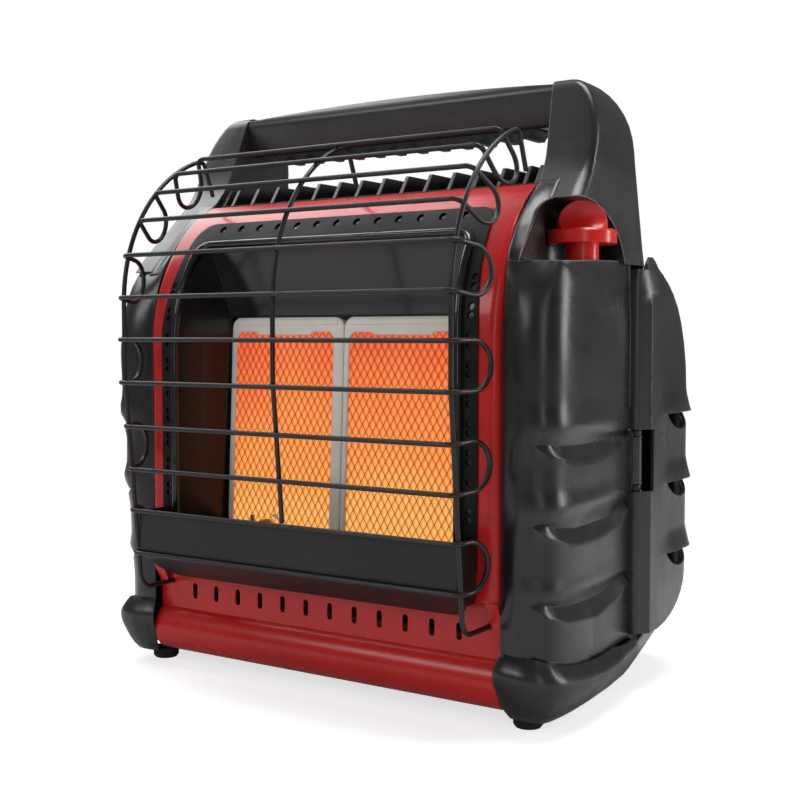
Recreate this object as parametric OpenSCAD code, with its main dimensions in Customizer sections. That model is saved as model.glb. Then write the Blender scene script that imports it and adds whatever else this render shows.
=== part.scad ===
// Portable radiant propane heater with two glowing tiles, a wire guard, a carry handle
// and a swing-out regulator door on each side. Millimetres, +Z up, front towards -Y.
// The parts are drawn with y = 0 on the slotted apron, then centred by place().

/* [Body] */
// Height of the handle's top at its two ends
handle_top = 434; // [432:0.5:436]
// Half of the gap between the two side mouldings
seam_x = 153.4; // [153:0.1:154]
// Outer half width of the side columns
column_x = 190; // [188:0.5:191]
// Height of the ledge on which the control knob sits
ledge_z = 307; // [306.5:0.5:307.5]
// Wall thickness of the plastic mouldings
wall = 3; // [2.6:0.1:3.2]
// Thickness of the pressed steel sheet
sheet = 1.2; // [1:0.1:1.3]

/* [Front] */
// Radius of the front panel's sweep towards the handle
front_r = 124; // [123:0.5:125]
// Depth of the front panel's face, ahead of the slotted apron
front_face = 11.4; // [11:0.2:12]
// Number of air slots in the apron
slot_count = 12; // [8:1:12]
// Spacing of the air slots
slot_pitch = 21.5; // [18:0.5:21.5]
// Radius of the roll along the bottom of the panel
roll_r = 19; // [18.6:0.2:19.2]

/* [Guard] */
// Diameter of the guard's wire
wire_d = 3.4; // [3:0.1:3.6]
// Radius of the guard's upper curve
guard_r = 122; // [121:0.5:123]
// Half width between the outer uprights
upright_x = 141; // [138:0.5:142]

/* [Burner] */
// Width of one burner's frame
tile_w = 107; // [104:0.5:108]
// Height of one burner's frame
tile_h = 159; // [150:1:160]
// Spacing of the diamonds across the burner screen
mesh_pitch = 9; // [8:0.5:14]

/* [Controls] */
// Distance of the control knob's axis from the middle of the heater
knob_x = 173; // [171:0.5:174]
// Depth of the control knob's axis behind the apron
knob_y = 70; // [66:0.5:72]
// Radius of the control knob's flange
knob_r = 23.4; // [21:0.2:23.6]

/* [Regulator doors] */
// Radius of the bottle thread inside a regulator's inlet
inlet_r = 12.7; // [12.2:0.1:12.7]
// Height of the inlet's mouth
inlet_z = 250; // [246:1:252]
// Outer half width of the doors
door_x = 196.7; // [196:0.1:197]

/* [Fan] */
// Radius swept by the fan's blades
fan_r = 52; // [46:1:53]
// Number of fan blades
blade_count = 5; // [4:1:7]

/* [Hidden] */
$fn = 64;

red = [0.62, 0.05, 0.06];
knob_red = [0.80, 0.10, 0.08];
charcoal = [0.10, 0.10, 0.11];
black_steel = [0.06, 0.06, 0.06];
bare_steel = [0.62, 0.62, 0.60];
brass = [0.78, 0.60, 0.28];
glow = [1.00, 0.45, 0.10];

guard_y = 69.5;
guard_z = 281;
rear_y = 238;
guard_rim = 4.4;
mid_y = (rear_y + 0.1 + guard_rim + guard_y - guard_r - wire_d / 2) / 2;
gap = 0.4;

// Sweep of the front panel: upright up to sweep_z, then an arc of front_r about sweep_y
sweep_z = 250;
sweep_y = front_r - front_face;
sweep_end = 62.5;

// Front edge of the side mouldings: upright, two bends back, a sloping shoulder, a bend up
edge_y = -7;
edge_z = 244;
soft_r = 200;
soft_a = 12;
bend_r = 62;
bend_a = 43.5;
shoulder_z = 366;
crest_r = 65;
crest_a = 20;
bend_y = edge_y + soft_r * (1 - cos(soft_a));
bend_z = edge_z + soft_r * sin(soft_a);
slope_y = bend_y + bend_r * (cos(soft_a) - cos(bend_a));
slope_z = bend_z + bend_r * (sin(bend_a) - sin(soft_a));
crest_y = slope_y + (shoulder_z - slope_z) * tan(bend_a);
rise_y = crest_y + crest_r * (cos(crest_a) - cos(bend_a));
rise_z = shoulder_z + crest_r * (sin(bend_a) - sin(crest_a));

function soft_edge(z) = edge_y + soft_r - sqrt(pow(soft_r, 2) - pow(z - edge_z, 2));
function bend_edge(z) =
    let(s = sin(soft_a) + (z - bend_z) / bend_r) bend_y + bend_r * (cos(soft_a) - sqrt(1 - s * s));
function crest_edge(z) =
    let(s = sin(bend_a) - (z - shoulder_z) / crest_r)
    crest_y + crest_r * (sqrt(1 - s * s) - cos(bend_a));
function front_edge(z) =
    z <= edge_z ? edge_y :
    z <= bend_z ? soft_edge(z) :
    z <= slope_z ? bend_edge(z) :
    z <= shoulder_z ? slope_y + (z - slope_z) * tan(bend_a) :
    z <= rise_z ? crest_edge(z) : rise_y + (z - rise_z) * tan(crest_a);

// Inner face of the side mouldings: upright, then leaning inwards above lean_z
lean_z = 288;
lean = 0.095;
function seam(z) = seam_x - max(0, z - lean_z) * lean;

// Quarter ellipse from 1 at h = 0 to 0 at h = top
function dome(h, top) = h <= 0 ? 1 : sqrt(max(0, 1 - pow(h / top, 2)));

// Arc of an ellipse, as n + 1 points
function arc(cx, cy, rx, ry, from, to, n) =
    [for (i = [0:n]) let(a = from + (to - from) * i / n) [cx + rx * cos(a), cy + ry * sin(a)]];

function lift(points, z) = [for (p = points) [p[0], p[1], z]];

// Solid through a stack of outlines that all have the same number of points
module loft(rings) {
    n = len(rings[0]);
    m = len(rings);
    polyhedron(
        points = [for (r = rings) for (p = r) p],
        faces = concat(
            [[for (i = [0:n - 1]) i]],
            [for (j = [0:m - 2]) for (i = [0:n - 1])
                [j * n + i, (j + 1) * n + i, (j + 1) * n + (i + 1) % n, j * n + (i + 1) % n]],
            [[for (i = [n - 1:-1:0]) (m - 1) * n + i]]
        ),
        convexity = 6
    );
}

module place() translate([0, -mid_y, 0]) children();
module mirrored() mirror([1, 0, 0]) children();
// Extrudes an outline drawn in (y, z) along X, centred
module along_x(w) rotate([90, 0, 90]) linear_extrude(w, center = true) children();
// Extrudes an outline drawn in (x, z) along +Y from y0
module along_y(y0, d) translate([0, y0 + d, 0]) rotate([90, 0, 0]) linear_extrude(d) children();

module bar(p, q, d) {
    v = q - p;
    translate(p)
        rotate([0, acos(v[2] / norm(v)), atan2(v[1], v[0])]) cylinder(h = norm(v), d = d);
}

// ---- Side mouldings: column, skirt and tower -------------------------------------------

corner_r = 11;
column_rear = 128;
column_rear_x = 184.5;
column_flat_y = 62;
column_foot = 34;
column_rings = [
    column_foot, 70, 78, 86, 91.5, 97, 108, 121, 131, 140, 146, 153, 176, 184, 191, 197, 203,
    215, edge_z, 256, 266, 277, 290, 300, ledge_z
];
column_core = [20, 70, 78, 86, 97, 121, 140, 153, 176, 191, 203, edge_z, 262, 278, 290, ledge_z - wall];

// How far the outer corner is drawn in at a height: it swells into a lip over each gill
column_inset = [
    [34, 6.8], [70, 6.8], [78, 6.4], [86, 4.4], [91.5, 3.6], [97, 5.4], [108, 5.8], [121, 4.8],
    [131, 2.6], [140, 0.8], [146, 2], [153, 3], [176, 3.1], [184, 0.4], [191, -1.2],
    [197, -0.3], [203, 1.1], [215, 0.6], [244, 0], [266, 0.8], [277, 1.5], [290, 2.6], [307, 4.6]
];

function column_ring(z, t, xi) =
    let(
        i = lookup(z, column_inset),
        cx = column_x + 3.5 - i,
        cy = front_edge(z) - 3.5 + 0.85 * i
    )
    lift(concat(
        [[xi, front_edge(z) + t]],
        arc(cx - corner_r, cy + corner_r, corner_r - t, corner_r - t, -90, 0, 8),
        [[cx - 1 - t, column_flat_y], [column_rear_x - t, column_rear - t], [xi, column_rear - t]]
    ), z);

skirt_front = -11.5;
skirt_x = 196;
skirt_rear = 237;
skirt_steps = [
    [8, -12], [13, -7.7], [18.5, -4.4], [24, -1.8], [28, 0], [32, 1.4], [37.5, 2.3],
    [42, 1.2], [45, -0.8], [48, -3], [51, -5.5]
];

function skirt_ring(z, d, xi) =
    lift(concat(
        [[xi, skirt_front - d]],
        arc(168, 18, skirt_x - 168 + d, 18 - skirt_front + d, -90, 0, 12),
        [[skirt_x + d, column_flat_y], [190.5 + d, column_rear]],
        arc(154, 216, 16 + d, skirt_rear - 216 + d, 20, 90, 5),
        [[xi, skirt_rear + d]]
    ), z);

// Leaf-shaped gills cut across the column's outer corner
gill_z = [185, 130.7, 79.4];
gill_from = [178, -9.5];
gill_to = [183.5, 128];
gill_r = 13;
gill_drop = 11;

module gill(z, grow) {
    v = gill_to - gill_from;
    translate([gill_from[0], gill_from[1], z])
        rotate([0, 0, atan2(v[1], v[0]) - 90])
        translate([-grow, norm(v) + 30, 0]) rotate([90, 0, 0]) linear_extrude(norm(v) + 60)
        intersection() {
            union() {
                translate([gill_r + grow, 2]) circle(gill_r + grow);
                translate([gill_r + grow, -gill_drop - grow])
                    square([20, 2 * (gill_drop + grow)]);
            }
            polygon([
                [-1, 30], [-1, -1.4 * grow], [gill_r, -gill_drop - 1.4 * grow],
                [40, -gill_drop - 1.4 * grow], [40, 30]
            ]);
        }
}

knob_hole_r = 12.2;

// Half of the housing's lower body; children() are cut out of it
module side_panel() {
    difference() {
        union() {
            loft([for (z = column_rings) column_ring(z, 0, seam_x)]);
            difference() {
                loft([for (s = skirt_steps) skirt_ring(s[0], s[1], seam_x)]);
                translate([seam_x - 5, column_rear + 0.5, 38]) cube([60, 130, 20]);
                translate([185, column_rear - 4.8, 40.4]) cube([40, 20, 20]);
            }
        }
        difference() {
            union() {
                loft([for (z = column_core) column_ring(z, wall, seam_x - 4)]);
                loft([for (s = [[10.5, -13.5], [14, -10.5], [24, -5.5], [35, -2]])
                    skirt_ring(s[0], s[1], seam_x - 4)]);
            }
            for (z = gill_z) gill(z, wall);
        }
        for (z = gill_z) gill(z, 0);
        children();
    }
}

tower_top = handle_top + 3;
tower_rings = [ledge_z, 315, 323, 333, 344, 355, 366, 373, 381, 390, 399, 408, 416, 423, 429, 433, 435.7, tower_top];
inner_rings = [ledge_z - 1, 318, 342, 366, 376, 390, 405, 417, 426, 431];
round_z = 380;
// Radius of the front outer corner at a height
tower_edge_r = [[307, 5], [330, 5], [345, 9], [362, 9], [380, 4.6], [437, 4.6]];

function tower_x(z) = z <= round_z ? 188 - (z - ledge_z) * lean
    : 150 + 31 * dome(z - round_z, tower_top + 0.6 - round_z);
function tower_rear(z) = z <= 395 ? 172 - (z - ledge_z) * 0.16
    : 112 + 46 * dome(z - 395, tower_top + 0.6 - 395);
function tower_front(z) = z <= 431 ? front_edge(z)
    : front_edge(431) + 12 * (1 - dome(z - 431, tower_top + 0.4 - 431));

function tower_ring(z, t, xi) =
    let(
        w = tower_x(z) - xi, d = tower_rear(z) - tower_front(z), f = lookup(z, tower_edge_r),
        bx = 0.6 * w, by = 0.26 * d, ix = 0.3 * w, iy = 0.2 * d
    )
    lift(concat(
        [[xi + t, tower_front(z) + t]],
        arc(tower_x(z) - f, tower_front(z) + f, f - t, f - t, -90, 0, 6),
        arc(tower_x(z) - bx, tower_rear(z) - by, bx - t, by - t, 0, 90, 9),
        arc(xi + ix, tower_rear(z) - iy, ix - t, iy - t, 90, 180, 5)
    ), z);

pocket_top = 349;
well_r = 27;

// Recess that opens through the shoulder under a quarter of an ellipse, with a round well
// for the knob
module knob_pocket(grow) {
    intersection() {
        translate([180, 0, 0]) along_x(120) polygon(concat(
            [[-30, pocket_top + grow], [-30, ledge_z - 4], [108 + grow, ledge_z - 4]],
            arc(45, ledge_z, 63 + grow, pocket_top - ledge_z + grow, 0, 90, 24)
        ));
        along_y(-40, 200) polygon(concat(
            [[240, pocket_top + grow], [240, ledge_z - 5], [159 - grow, ledge_z - 5]],
            arc(164, pocket_top - 10.5, 10.7 + grow, 10.5 + grow, 180, 90, 8)
        ));
    }
    translate([knob_x, knob_y, ledge_z - 3]) cylinder(h = 27 + grow, r = well_r + grow);
    translate([knob_x, knob_y, 332]) sphere(r = 18.4 + grow, $fn = 96);
}

switch_y = 108;
switch_z = 336;
switch_x = 168;

// Places children in the left tower's round recess, with +Z out of its floor
module at_switch() {
    translate([-switch_x, switch_y, switch_z]) rotate([0, -90, 0]) children();
}

module switch_recess(grow) {
    at_switch() translate([0, 0, -grow]) cylinder(h = 40, r = 24 + grow);
}

module above(z) translate([-400, -400, z]) cube([800, 800, 400]);

// Hollow tower: children(1) is lined with a wall, then children(0) is cut out of it
module tower() {
    difference() {
        union() {
            difference() {
                loft([for (z = tower_rings) tower_ring(z, 0, seam(z))]);
                loft([for (z = inner_rings) tower_ring(z, wall, seam(z))]);
            }
            intersection() {
                union() {
                    loft([for (z = tower_rings) tower_ring(z, 0, seam(z))]);
                    translate([130, 52, ledge_z]) cube([24, 60, 60]);
                }
                children(1);
            }
        }
        children(0);
    }
}

module right_side_panel() {
    color(charcoal) place() side_panel()
        translate([knob_x, knob_y, ledge_z - 10]) cylinder(h = 20, r = knob_hole_r);
}

module left_side_panel() color(charcoal) place() mirrored() side_panel();

module right_tower() {
    color(charcoal) place() tower() {
        knob_pocket(0);
        difference() {
            knob_pocket(2.5);
            translate([0, 0, -400]) above(ledge_z);
        }
    }
}

module left_tower() {
    color(charcoal) place() mirrored() tower() {
        mirrored() union() {
            switch_recess(0);
            at_switch() translate([0, 0, -10]) cylinder(h = 20, r = 6.3);
        }
        mirrored() switch_recess(2.5);
    }
}

// ---- Handle -----------------------------------------------------------------------------

grip_pitch = 20.4;
handle_under = 406;
arch_rise = 5;
arch_r = (pow(seam(handle_top), 2) + pow(arch_rise, 2)) / (2 * arch_rise);

// Outline in (x, z) that stays a hair inside both towers
module between_towers(z0, z1, clear) {
    polygon([
        [-seam(z0) + clear, z0], [seam(z0) - clear, z0],
        [seam(z1) - clear, z1], [-seam(z1) + clear, z1]
    ]);
}

module handle() {
    color(charcoal) place() intersection() {
        along_x(300) hull() {
            translate([101, 430]) circle(9, $fn = 32);
            translate([106, 441]) circle(5, $fn = 32);
            translate([122, 441]) circle(5, $fn = 32);
            translate([129, 428]) circle(8, $fn = 32);
            translate([105, handle_under + 4]) circle(4, $fn = 32);
            translate([127, handle_under + 4]) circle(4, $fn = 32);
        }
        along_y(80, 70) intersection() {
            between_towers(handle_under, 450, 0.05);
            translate([0, handle_top + arch_rise - arch_r]) circle(arch_r, $fn = 360);
        }
    }
}

module handle_grip() {
    color(charcoal) place() difference() {
        translate([-122.4, 103, handle_under - 6]) cube([244.8, 26, 6]);
        for (i = [-6:6]) translate([i * grip_pitch, 90, handle_under - 9])
            rotate([-90, 0, 0]) cylinder(h = 60, r = 8);
    }
}

// ---- Front panel ------------------------------------------------------------------------

// Revolves a section drawn as (radius, x) over the panel's upper sweep
module upper_sweep(from, to) {
    translate([0, sweep_y, sweep_z]) rotate([0, -90, 180]) rotate([0, 0, 90 - to])
        rotate_extrude(angle = to - from, $fn = 180) children();
}

// The same section along the upright part, from z0 up to just inside the sweep
module lower_sweep(z0) {
    translate([0, sweep_y, z0]) linear_extrude(sweep_z + 1 - z0)
        rotate([0, 0, -90]) children();
}

roll_edge = 7;
rail_in = 130;
rail_out = seam_x - gap;
rail_foot = 84;
foot_z = 66;
apron_top = 104.8;

// Section of one side rail: flat face, rolled outer edge and a return towards the rear.
// The upright part is set in by g, so that its end is hidden inside the sweep's.
module rail_section(g) {
    r = front_r;
    turn = [r - roll_edge, rail_out - roll_edge];
    difference() {
        union() {
            translate([r - sheet + g, rail_in + g])
                square([sheet - 2 * g, rail_out - roll_edge - rail_in - g]);
            intersection() {
                translate(turn) circle(roll_edge - g);
                translate(turn) square(roll_edge);
            }
            translate([r - 24 + g, rail_out - sheet + g])
                square([24 - roll_edge - g, sheet - 2 * g]);
        }
        intersection() {
            translate(turn) circle(roll_edge - sheet + g);
            translate(turn - [1, 1]) square(roll_edge + 2);
        }
    }
}

set_in = 0.05;

module side_rail() {
    upper_sweep(0, sweep_end) rail_section(0);
    lower_sweep(rail_foot) rail_section(set_in);
    // Foot of the rail, sloping back to the apron
    translate([(rail_out + 144) / 2, 0, 0]) along_x(rail_out - 144)
        polygon([
            [-front_face, rail_foot + 0.4], [-front_face, rail_foot], [0, 62], [sheet, 62],
            [sheet, 66], [sheet - front_face, rail_foot], [sheet - front_face, rail_foot + 0.4]
        ]);
}

module apron() {
    difference() {
        translate([-rail_out, 0, 44.5]) cube([2 * rail_out, sheet, apron_top - 44.5]);
        for (i = [0:slot_count - 1])
            translate([slot_pitch * (i - (slot_count - 1) / 2), -5, 0])
            for (z = [56.25, 63.75]) translate([0, 0, z]) rotate([-90, 0, 0])
                cylinder(h = 12, r = 2.25);
        for (i = [0:slot_count - 1])
            translate([slot_pitch * (i - (slot_count - 1) / 2) - 2.25, -5, 56.25])
                cube([4.5, 12, 7.5]);
        for (s = [-1, 1]) translate([s * upright_x, -5, foot_z])
            rotate([-90, 0, 0]) cylinder(h = 12, d = wire_d + 0.6);
    }
}

roll_y = 9.5;
roll_z = 29;

module bottom_roll() {
    along_x(2 * (rail_out - 1)) difference() {
        translate([roll_y, roll_z]) circle(roll_r, $fn = 128);
        translate([roll_y, roll_z]) circle(roll_r - sheet, $fn = 128);
        translate([roll_y, -10]) square([40, 80]);
        translate([sheet, 44]) square([40, 20]);
        translate([0, 46.3]) square([40, 20]);
    }
}

module hood() {
    intersection() {
        upper_sweep(0, sweep_end)
            translate([front_r - sheet, -rail_in - 2]) square([sheet, 2 * rail_in + 4]);
        translate([-200, -50, 337]) cube([400, 200, 60]);
    }
    // Top return, from the hood's edge back under the grille
    translate([-rail_in - 8, 54.8, 358.6]) cube([2 * rail_in + 16, 7.4, sheet]);
}

module front_panel() {
    color(red) place() intersection() {
        union() {
            side_rail();
            mirrored() side_rail();
            hood();
            apron();
            bottom_roll();
        }
        along_y(-30, 120) polygon([
            [-rail_out, 0], [rail_out, 0], [rail_out, lean_z],
            [seam(380) - gap, 380], [-seam(380) + gap, 380], [-rail_out, lean_z]
        ]);
    }
}

// ---- Window bezel, reflector and lower shield ---------------------------------------------

lip_top = 329;
bezel_top = 344;
window_foot = 104;

// Rounded window outline in (x, z), grown by g
module window_outline(g) {
    r = 14 + g;
    half = 109;
    lo = 125.5;
    translate([-half, lip_top - 14]) circle(r);
    translate([half, lip_top - 14]) circle(r);
    polygon([
        [-lo - g, window_foot - g], [lo + g, window_foot - g], [lo + g, 250],
        [half + 14 + g, lip_top - 13], [half, lip_top - 13], [half, lip_top + g],
        [-half, lip_top + g], [-half, lip_top - 13], [-half - 14 - g, lip_top - 13], [-lo - g, 250]
    ]);
}

module bezel_outline() {
    translate([-118, bezel_top - 14]) circle(14);
    translate([118, bezel_top - 14]) circle(14);
    polygon([
        [-138.8, window_foot], [138.8, window_foot], [138.8, 262], [132, bezel_top - 14],
        [118, bezel_top - 14], [118, bezel_top], [-118, bezel_top], [-118, bezel_top - 14],
        [-132, bezel_top - 14], [-138.8, 262]
    ]);
}

module bezel_sheet(inner, outer) {
    upper_sweep(0, 55) translate([inner, -139]) square([outer - inner, 278]);
    lower_sweep(window_foot) translate([inner + set_in, -139])
        square([outer - inner - 2 * set_in, 278]);
}

module window_bezel() {
    color(black_steel) place() difference() {
        union() {
            intersection() {
                bezel_sheet(front_r + 0.1, front_r + 1.3);
                along_y(-40, 120) bezel_outline();
            }
            intersection() {
                bezel_sheet(front_r + 0.1, front_r + 3.8);
                along_y(-40, 120) window_outline(2.2);
            }
        }
        along_y(-60, 160) window_outline(0);
        for (i = [-6:6]) translate([i * 18, 0, 338.5]) translate([0, sweep_y, 0])
            rotate([90, 0, 0]) cylinder(h = 200, r = 2.6);
        for (s = [-1, 1]) for (k = [0:9])
            translate([s * 132.5, 0, 118 + k * 19]) for (dz = [0, 6])
                translate([0, -60, dz]) rotate([-90, 0, 0]) cylinder(h = 75, r = 2.4);
    }
}

tile_plane = 34;
reflector_t = 0.8;

module reflector_form(t) {
    hull() {
        translate([-109.5 - t, tile_plane - 0.1, 106 - t]) cube([219 + 2 * t, 0.1 + t, 167 + 2 * t]);
        translate([-131.4 - t, -30, 106 - t]) cube([262.8 + 2 * t, 0.1, 374 + 2 * t]);
    }
}

module behind_panel() {
    translate([-200, sweep_y - front_r + 1.5, 90]) cube([400, 120, sweep_z - 90]);
    intersection() {
        translate([0, sweep_y, sweep_z]) rotate([0, 90, 0])
            cylinder(h = 400, r = front_r - 1.5, center = true, $fn = 180);
        translate([-200, -40, sweep_z]) cube([400, 100, 100]);
    }
}

module reflector() {
    color(black_steel) place() difference() {
        intersection() {
            difference() {
                reflector_form(reflector_t);
                reflector_form(0);
            }
            behind_panel();
        }
        translate([-108.6, tile_plane - 5, 110.5]) cube([217.2, 20, 160.5]);
    }
}

shield_top = 125.5;
crease_z = 94;

shield_y = -38;
shield_half = 139;

module shield_profile() {
    polygon([
        [shield_y, shield_top], [shield_y + 0.4, crease_z], [-13.5, 74], [-12.7, 75],
        [shield_y + 1.6, crease_z + 0.5], [shield_y + 1.2, shield_top]
    ]);
}

module lower_shield() {
    color(black_steel) place() {
        intersection() {
            along_x(2 * shield_half) shield_profile();
            along_y(-60, 60) union() {
                translate([-120, 94]) circle(20);
                translate([120, 94]) circle(20);
                translate([-120, 60]) square([240, 40]);
                translate([-shield_half, 94]) square([2 * shield_half, 40]);
            }
        }
        for (s = [-1, 1]) translate([s * (shield_half - sheet / 2), 0, 0]) along_x(sheet)
            polygon([
                [shield_y + 0.6, shield_top], [shield_y + 0.9, crease_z + 0.4], [-24, 84], [-16, 84],
                [-13.2, 88], [-13.2, shield_top]
            ]);
    }
}

// ---- Chassis ------------------------------------------------------------------------------

module bottom_pan() {
    color(black_steel) place() difference() {
        translate([-150, 10.5, 10.4]) cube([300, 226, 1.4]);
        for (x = [-100:25:100]) translate([x - 3, 60, 0]) cube([6, 60, 20]);
    }
}

bay_x = 92;
bay_front = 126.4;
bay_roof = 305;
bay_floor = 36.6;
sheet_liner = 1.5;

rear_r = 148;
rear_z = 231;
rear_cy = rear_y - rear_r;

module rear_profile(t) {
    difference() {
        union() {
            translate([rear_cy, rear_z]) circle(rear_r, $fn = 180);
            translate([rear_cy, 12]) square([rear_r, rear_z - 12]);
        }
        translate([rear_cy, rear_z]) circle(rear_r - t, $fn = 180);
        translate([0, 0]) square([rear_cy + rear_r - t, rear_z]);
        translate([-200, 0]) square([350, 500]);
        translate([0, -200]) square([400, 212]);
    }
}

module rear_panel() {
    color(charcoal) place() difference() {
        union() {
            intersection() {
                along_x(300) rear_profile(2);
                along_y(100, 160) union() {
                    translate([-bay_x + 0.3, 12]) square([2 * bay_x - 0.6, bay_roof]);
                    between_towers(bay_roof + 1.6, 372, 1);
                }
            }
            for (s = [-1, 1]) for (x = [62]) translate([s * x, 240.3, 22.6]) rotate([0, 90, 0])
                cylinder(h = 4, r = 2.2, center = true);
            for (s = [-1, 1]) translate([s * 62 - 1.6, 237.5, 21]) cube([3.2, 2.8, 3]);
        }
        translate([0, rear_y + 5, fan_z]) rotate([90, 0, 0]) cylinder(h = 20, r = 56);
        translate([-66.4, 220, 24.2]) cube([132.8, 20.5, 72.2]);
        translate([-58.5, 220, 21.4]) cube([117, 20.5, 10]);
        translate([-70, 240.3, 22.6]) rotate([0, 90, 0]) cylinder(h = 140, r = 1);
        for (k = [0:4]) translate([-60, 170, 322 + k * 8]) cube([120, 80, 3.4]);
    }
}

module bay_liner() {
    difference() {
        union() {
            translate([bay_x, bay_front + sheet_liner, 12])
                cube([sheet_liner, rear_y - 3 - bay_front, bay_roof - 12]);
            translate([bay_x, bay_front, 12]) cube([151 - bay_x, sheet_liner, bay_roof - 12]);
            translate([bay_x, bay_front, bay_roof]) cube([58, 92, 1.4]);
            translate([bay_x, bay_front, bay_floor]) cube([151 - bay_x, 110, 1.4]);
        }
        translate([120, bay_front - 5, 286]) rotate([-90, 0, 0]) cylinder(h = 12, r = 6);
    }
}

module right_bay_liner() color(black_steel) place() bay_liner();
module left_bay_liner() color(black_steel) place() mirrored() bay_liner();

module heat_shield() {
    color(bare_steel) place() difference() {
        translate([-120, 78, 64]) cube([240, 1, 262]);
        for (x = [-100:20:100]) translate([x - 4, 70, 300]) cube([8, 20, 14]);
    }
}

fin_pitch = 20.4;
fin_count = 14;

module top_grille() {
    color(black_steel) place() intersection() {
        union() {
            for (i = [0:fin_count - 1])
                translate([fin_pitch * (i - (fin_count - 1) / 2), 0, 0]) along_x(3)
                    polygon([[62.6, 361.4], [72, 375], [150, 375], [150, 368], [64, 358.5]]);
            translate([-150, 64, 358.2]) cube([300, 3, 4]);
            translate([-150, 104, 366]) cube([300, 3, 9]);
            translate([-150, 147, 366.2]) cube([300, 3, 8.8]);
            for (s = [-1, 1]) translate([s * 142.3, 0, 0]) along_x(4)
                polygon([[62.6, 361.4], [72, 375], [150, 375], [150, 368], [64, 358.5]]);
        }
        along_y(40, 130) between_towers(350, 380, 0.6);
    }
}

module foot() {
    cylinder(h = 2, r1 = 8.5, r2 = 10);
    translate([0, 0, 2]) cylinder(h = 6, r = 10);
}

module rubber_feet() {
    color([0.05, 0.05, 0.05]) place() for (s = [-1, 1]) {
        translate([s * 163, 14, 0]) foot();
        translate([s * 145, 200, 0]) foot();
    }
}

// ---- Wire guard ---------------------------------------------------------------------------

straight_z = 225;
lean_dy = 12.2;
lean_dz = 128.3;

// Point on the rungs' surface: s is degrees up the arc when positive, millimetres down when negative
function on_guard(s) =
    s >= 0 ? [guard_y - guard_r * cos(s), guard_z + guard_r * sin(s)] :
    s >= straight_z - guard_z ? [guard_y - guard_r, guard_z + s] :
    let(k = (straight_z - guard_z - s) / norm([lean_dy, lean_dz]))
    [guard_y - guard_r + k * lean_dy, straight_z - k * lean_dz];

// One rung: its two wires' places on the guard, half its straight width, and its end's reach
rungs = [
    [68.5, 54.5, 136, 35], [43.2, 30.3, 140, 35], [16.8, 1.9, 145, 35],
    [-27, -58.8, 146, 35], [-91.7, -123.8, 144.5, 33], [-155.3, -188, 145, 26.5]
];
turn_r = 7;
leg_tilt = 15;

// Joints in the wire: a weld bead or a core pin bridges the hairline gap between two lengths
joint = 0.05;
module bead() sphere(d = wire_d + 0.14);
module pin() cylinder(h = 2, d = wire_d - 0.8, center = true);

// Arc of wire about the origin, stopping short of both joints
module bend(r, angle) {
    slack = joint / r * 57.3;
    rotate([0, 0, slack]) rotate_extrude(angle = angle - 2 * slack)
        translate([r, 0]) circle(d = wire_d);
}

// One end of a rung, beyond its straight wires: a bend back and the hairpin that joins them
module rung_end(r, w, leg) {
    corner = [w - turn_r + turn_r * cos(leg_tilt), turn_r - turn_r * sin(leg_tilt), 0];
    for (s = [-1, 1]) translate([0, 0, s * r]) {
        translate([w - turn_r, 0, 0]) rotate([0, 90, 0]) pin();
        translate([w - turn_r, turn_r, 0]) rotate([0, 0, -90]) bend(turn_r, 90 - leg_tilt);
    }
    translate(corner) rotate([0, 0, -leg_tilt]) {
        for (s = [-1, 1]) translate([0, 0, s * r]) {
            rotate([90, 0, 0]) pin();
            translate([0, joint, 0]) rotate([-90, 0, 0]) cylinder(h = leg - 2 * joint, d = wire_d);
            translate([0, leg, 0]) rotate([90, 0, 0]) pin();
        }
        translate([0, leg, 0]) rotate([0, -90, 0]) bend(r, 180);
    }
}

// Rung between guard points a and b, with half straight width w and ends that reach back
module rung(a, b, w, reach) {
    e = a - b;
    r = norm(e) / 2;
    translate([0, (a[0] + b[0]) / 2, (a[1] + b[1]) / 2]) rotate([-atan2(e[0], e[1]), 0, 0]) {
        for (s = [-1, 1]) translate([joint + turn_r - w, 0, s * r]) rotate([0, 90, 0])
            cylinder(h = 2 * (w - turn_r - joint), d = wire_d);
        rung_end(r, w, reach - turn_r - r);
        mirrored() rung_end(r, w, reach - turn_r - r);
    }
}

module guard_rungs() {
    color(black_steel) place() for (g = rungs)
        rung(on_guard(g[0]), on_guard(g[1]), g[2], g[3]);
}

weld = 3.25;
up_r = guard_r - weld;
up_top = 72;
hook_r = 6;
hook_a = 158;
hook_len = 24;
foot_bend = 12;
lean_a = atan2(lean_dy, lean_dz);

// Arc in the (y, z) plane about c, from angle a0 to a1 measured up from the front
module wire_arc(c, r, a0, a1) {
    translate([0, c[0], c[1]]) rotate([0, -90, 180]) rotate([0, 0, 90 - a1])
        rotate_extrude(angle = a1 - a0) translate([r, 0]) circle(d = wire_d);
}

function at(c, r, a) = [0, c[0] - r * cos(a), c[1] + r * sin(a)];

// Straight wire in the (y, z) plane, from p, tilted back from upright, short of both joints
module run(p, tilt, len) {
    translate(p) rotate([tilt, 0, 0]) translate([0, 0, joint])
        cylinder(h = len - 2 * joint, d = wire_d);
}

// Point on the leaning part of an upright at height z
function on_lean(z) = [0, guard_y - up_r + (straight_z - z) * tan(lean_a), z];

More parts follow.
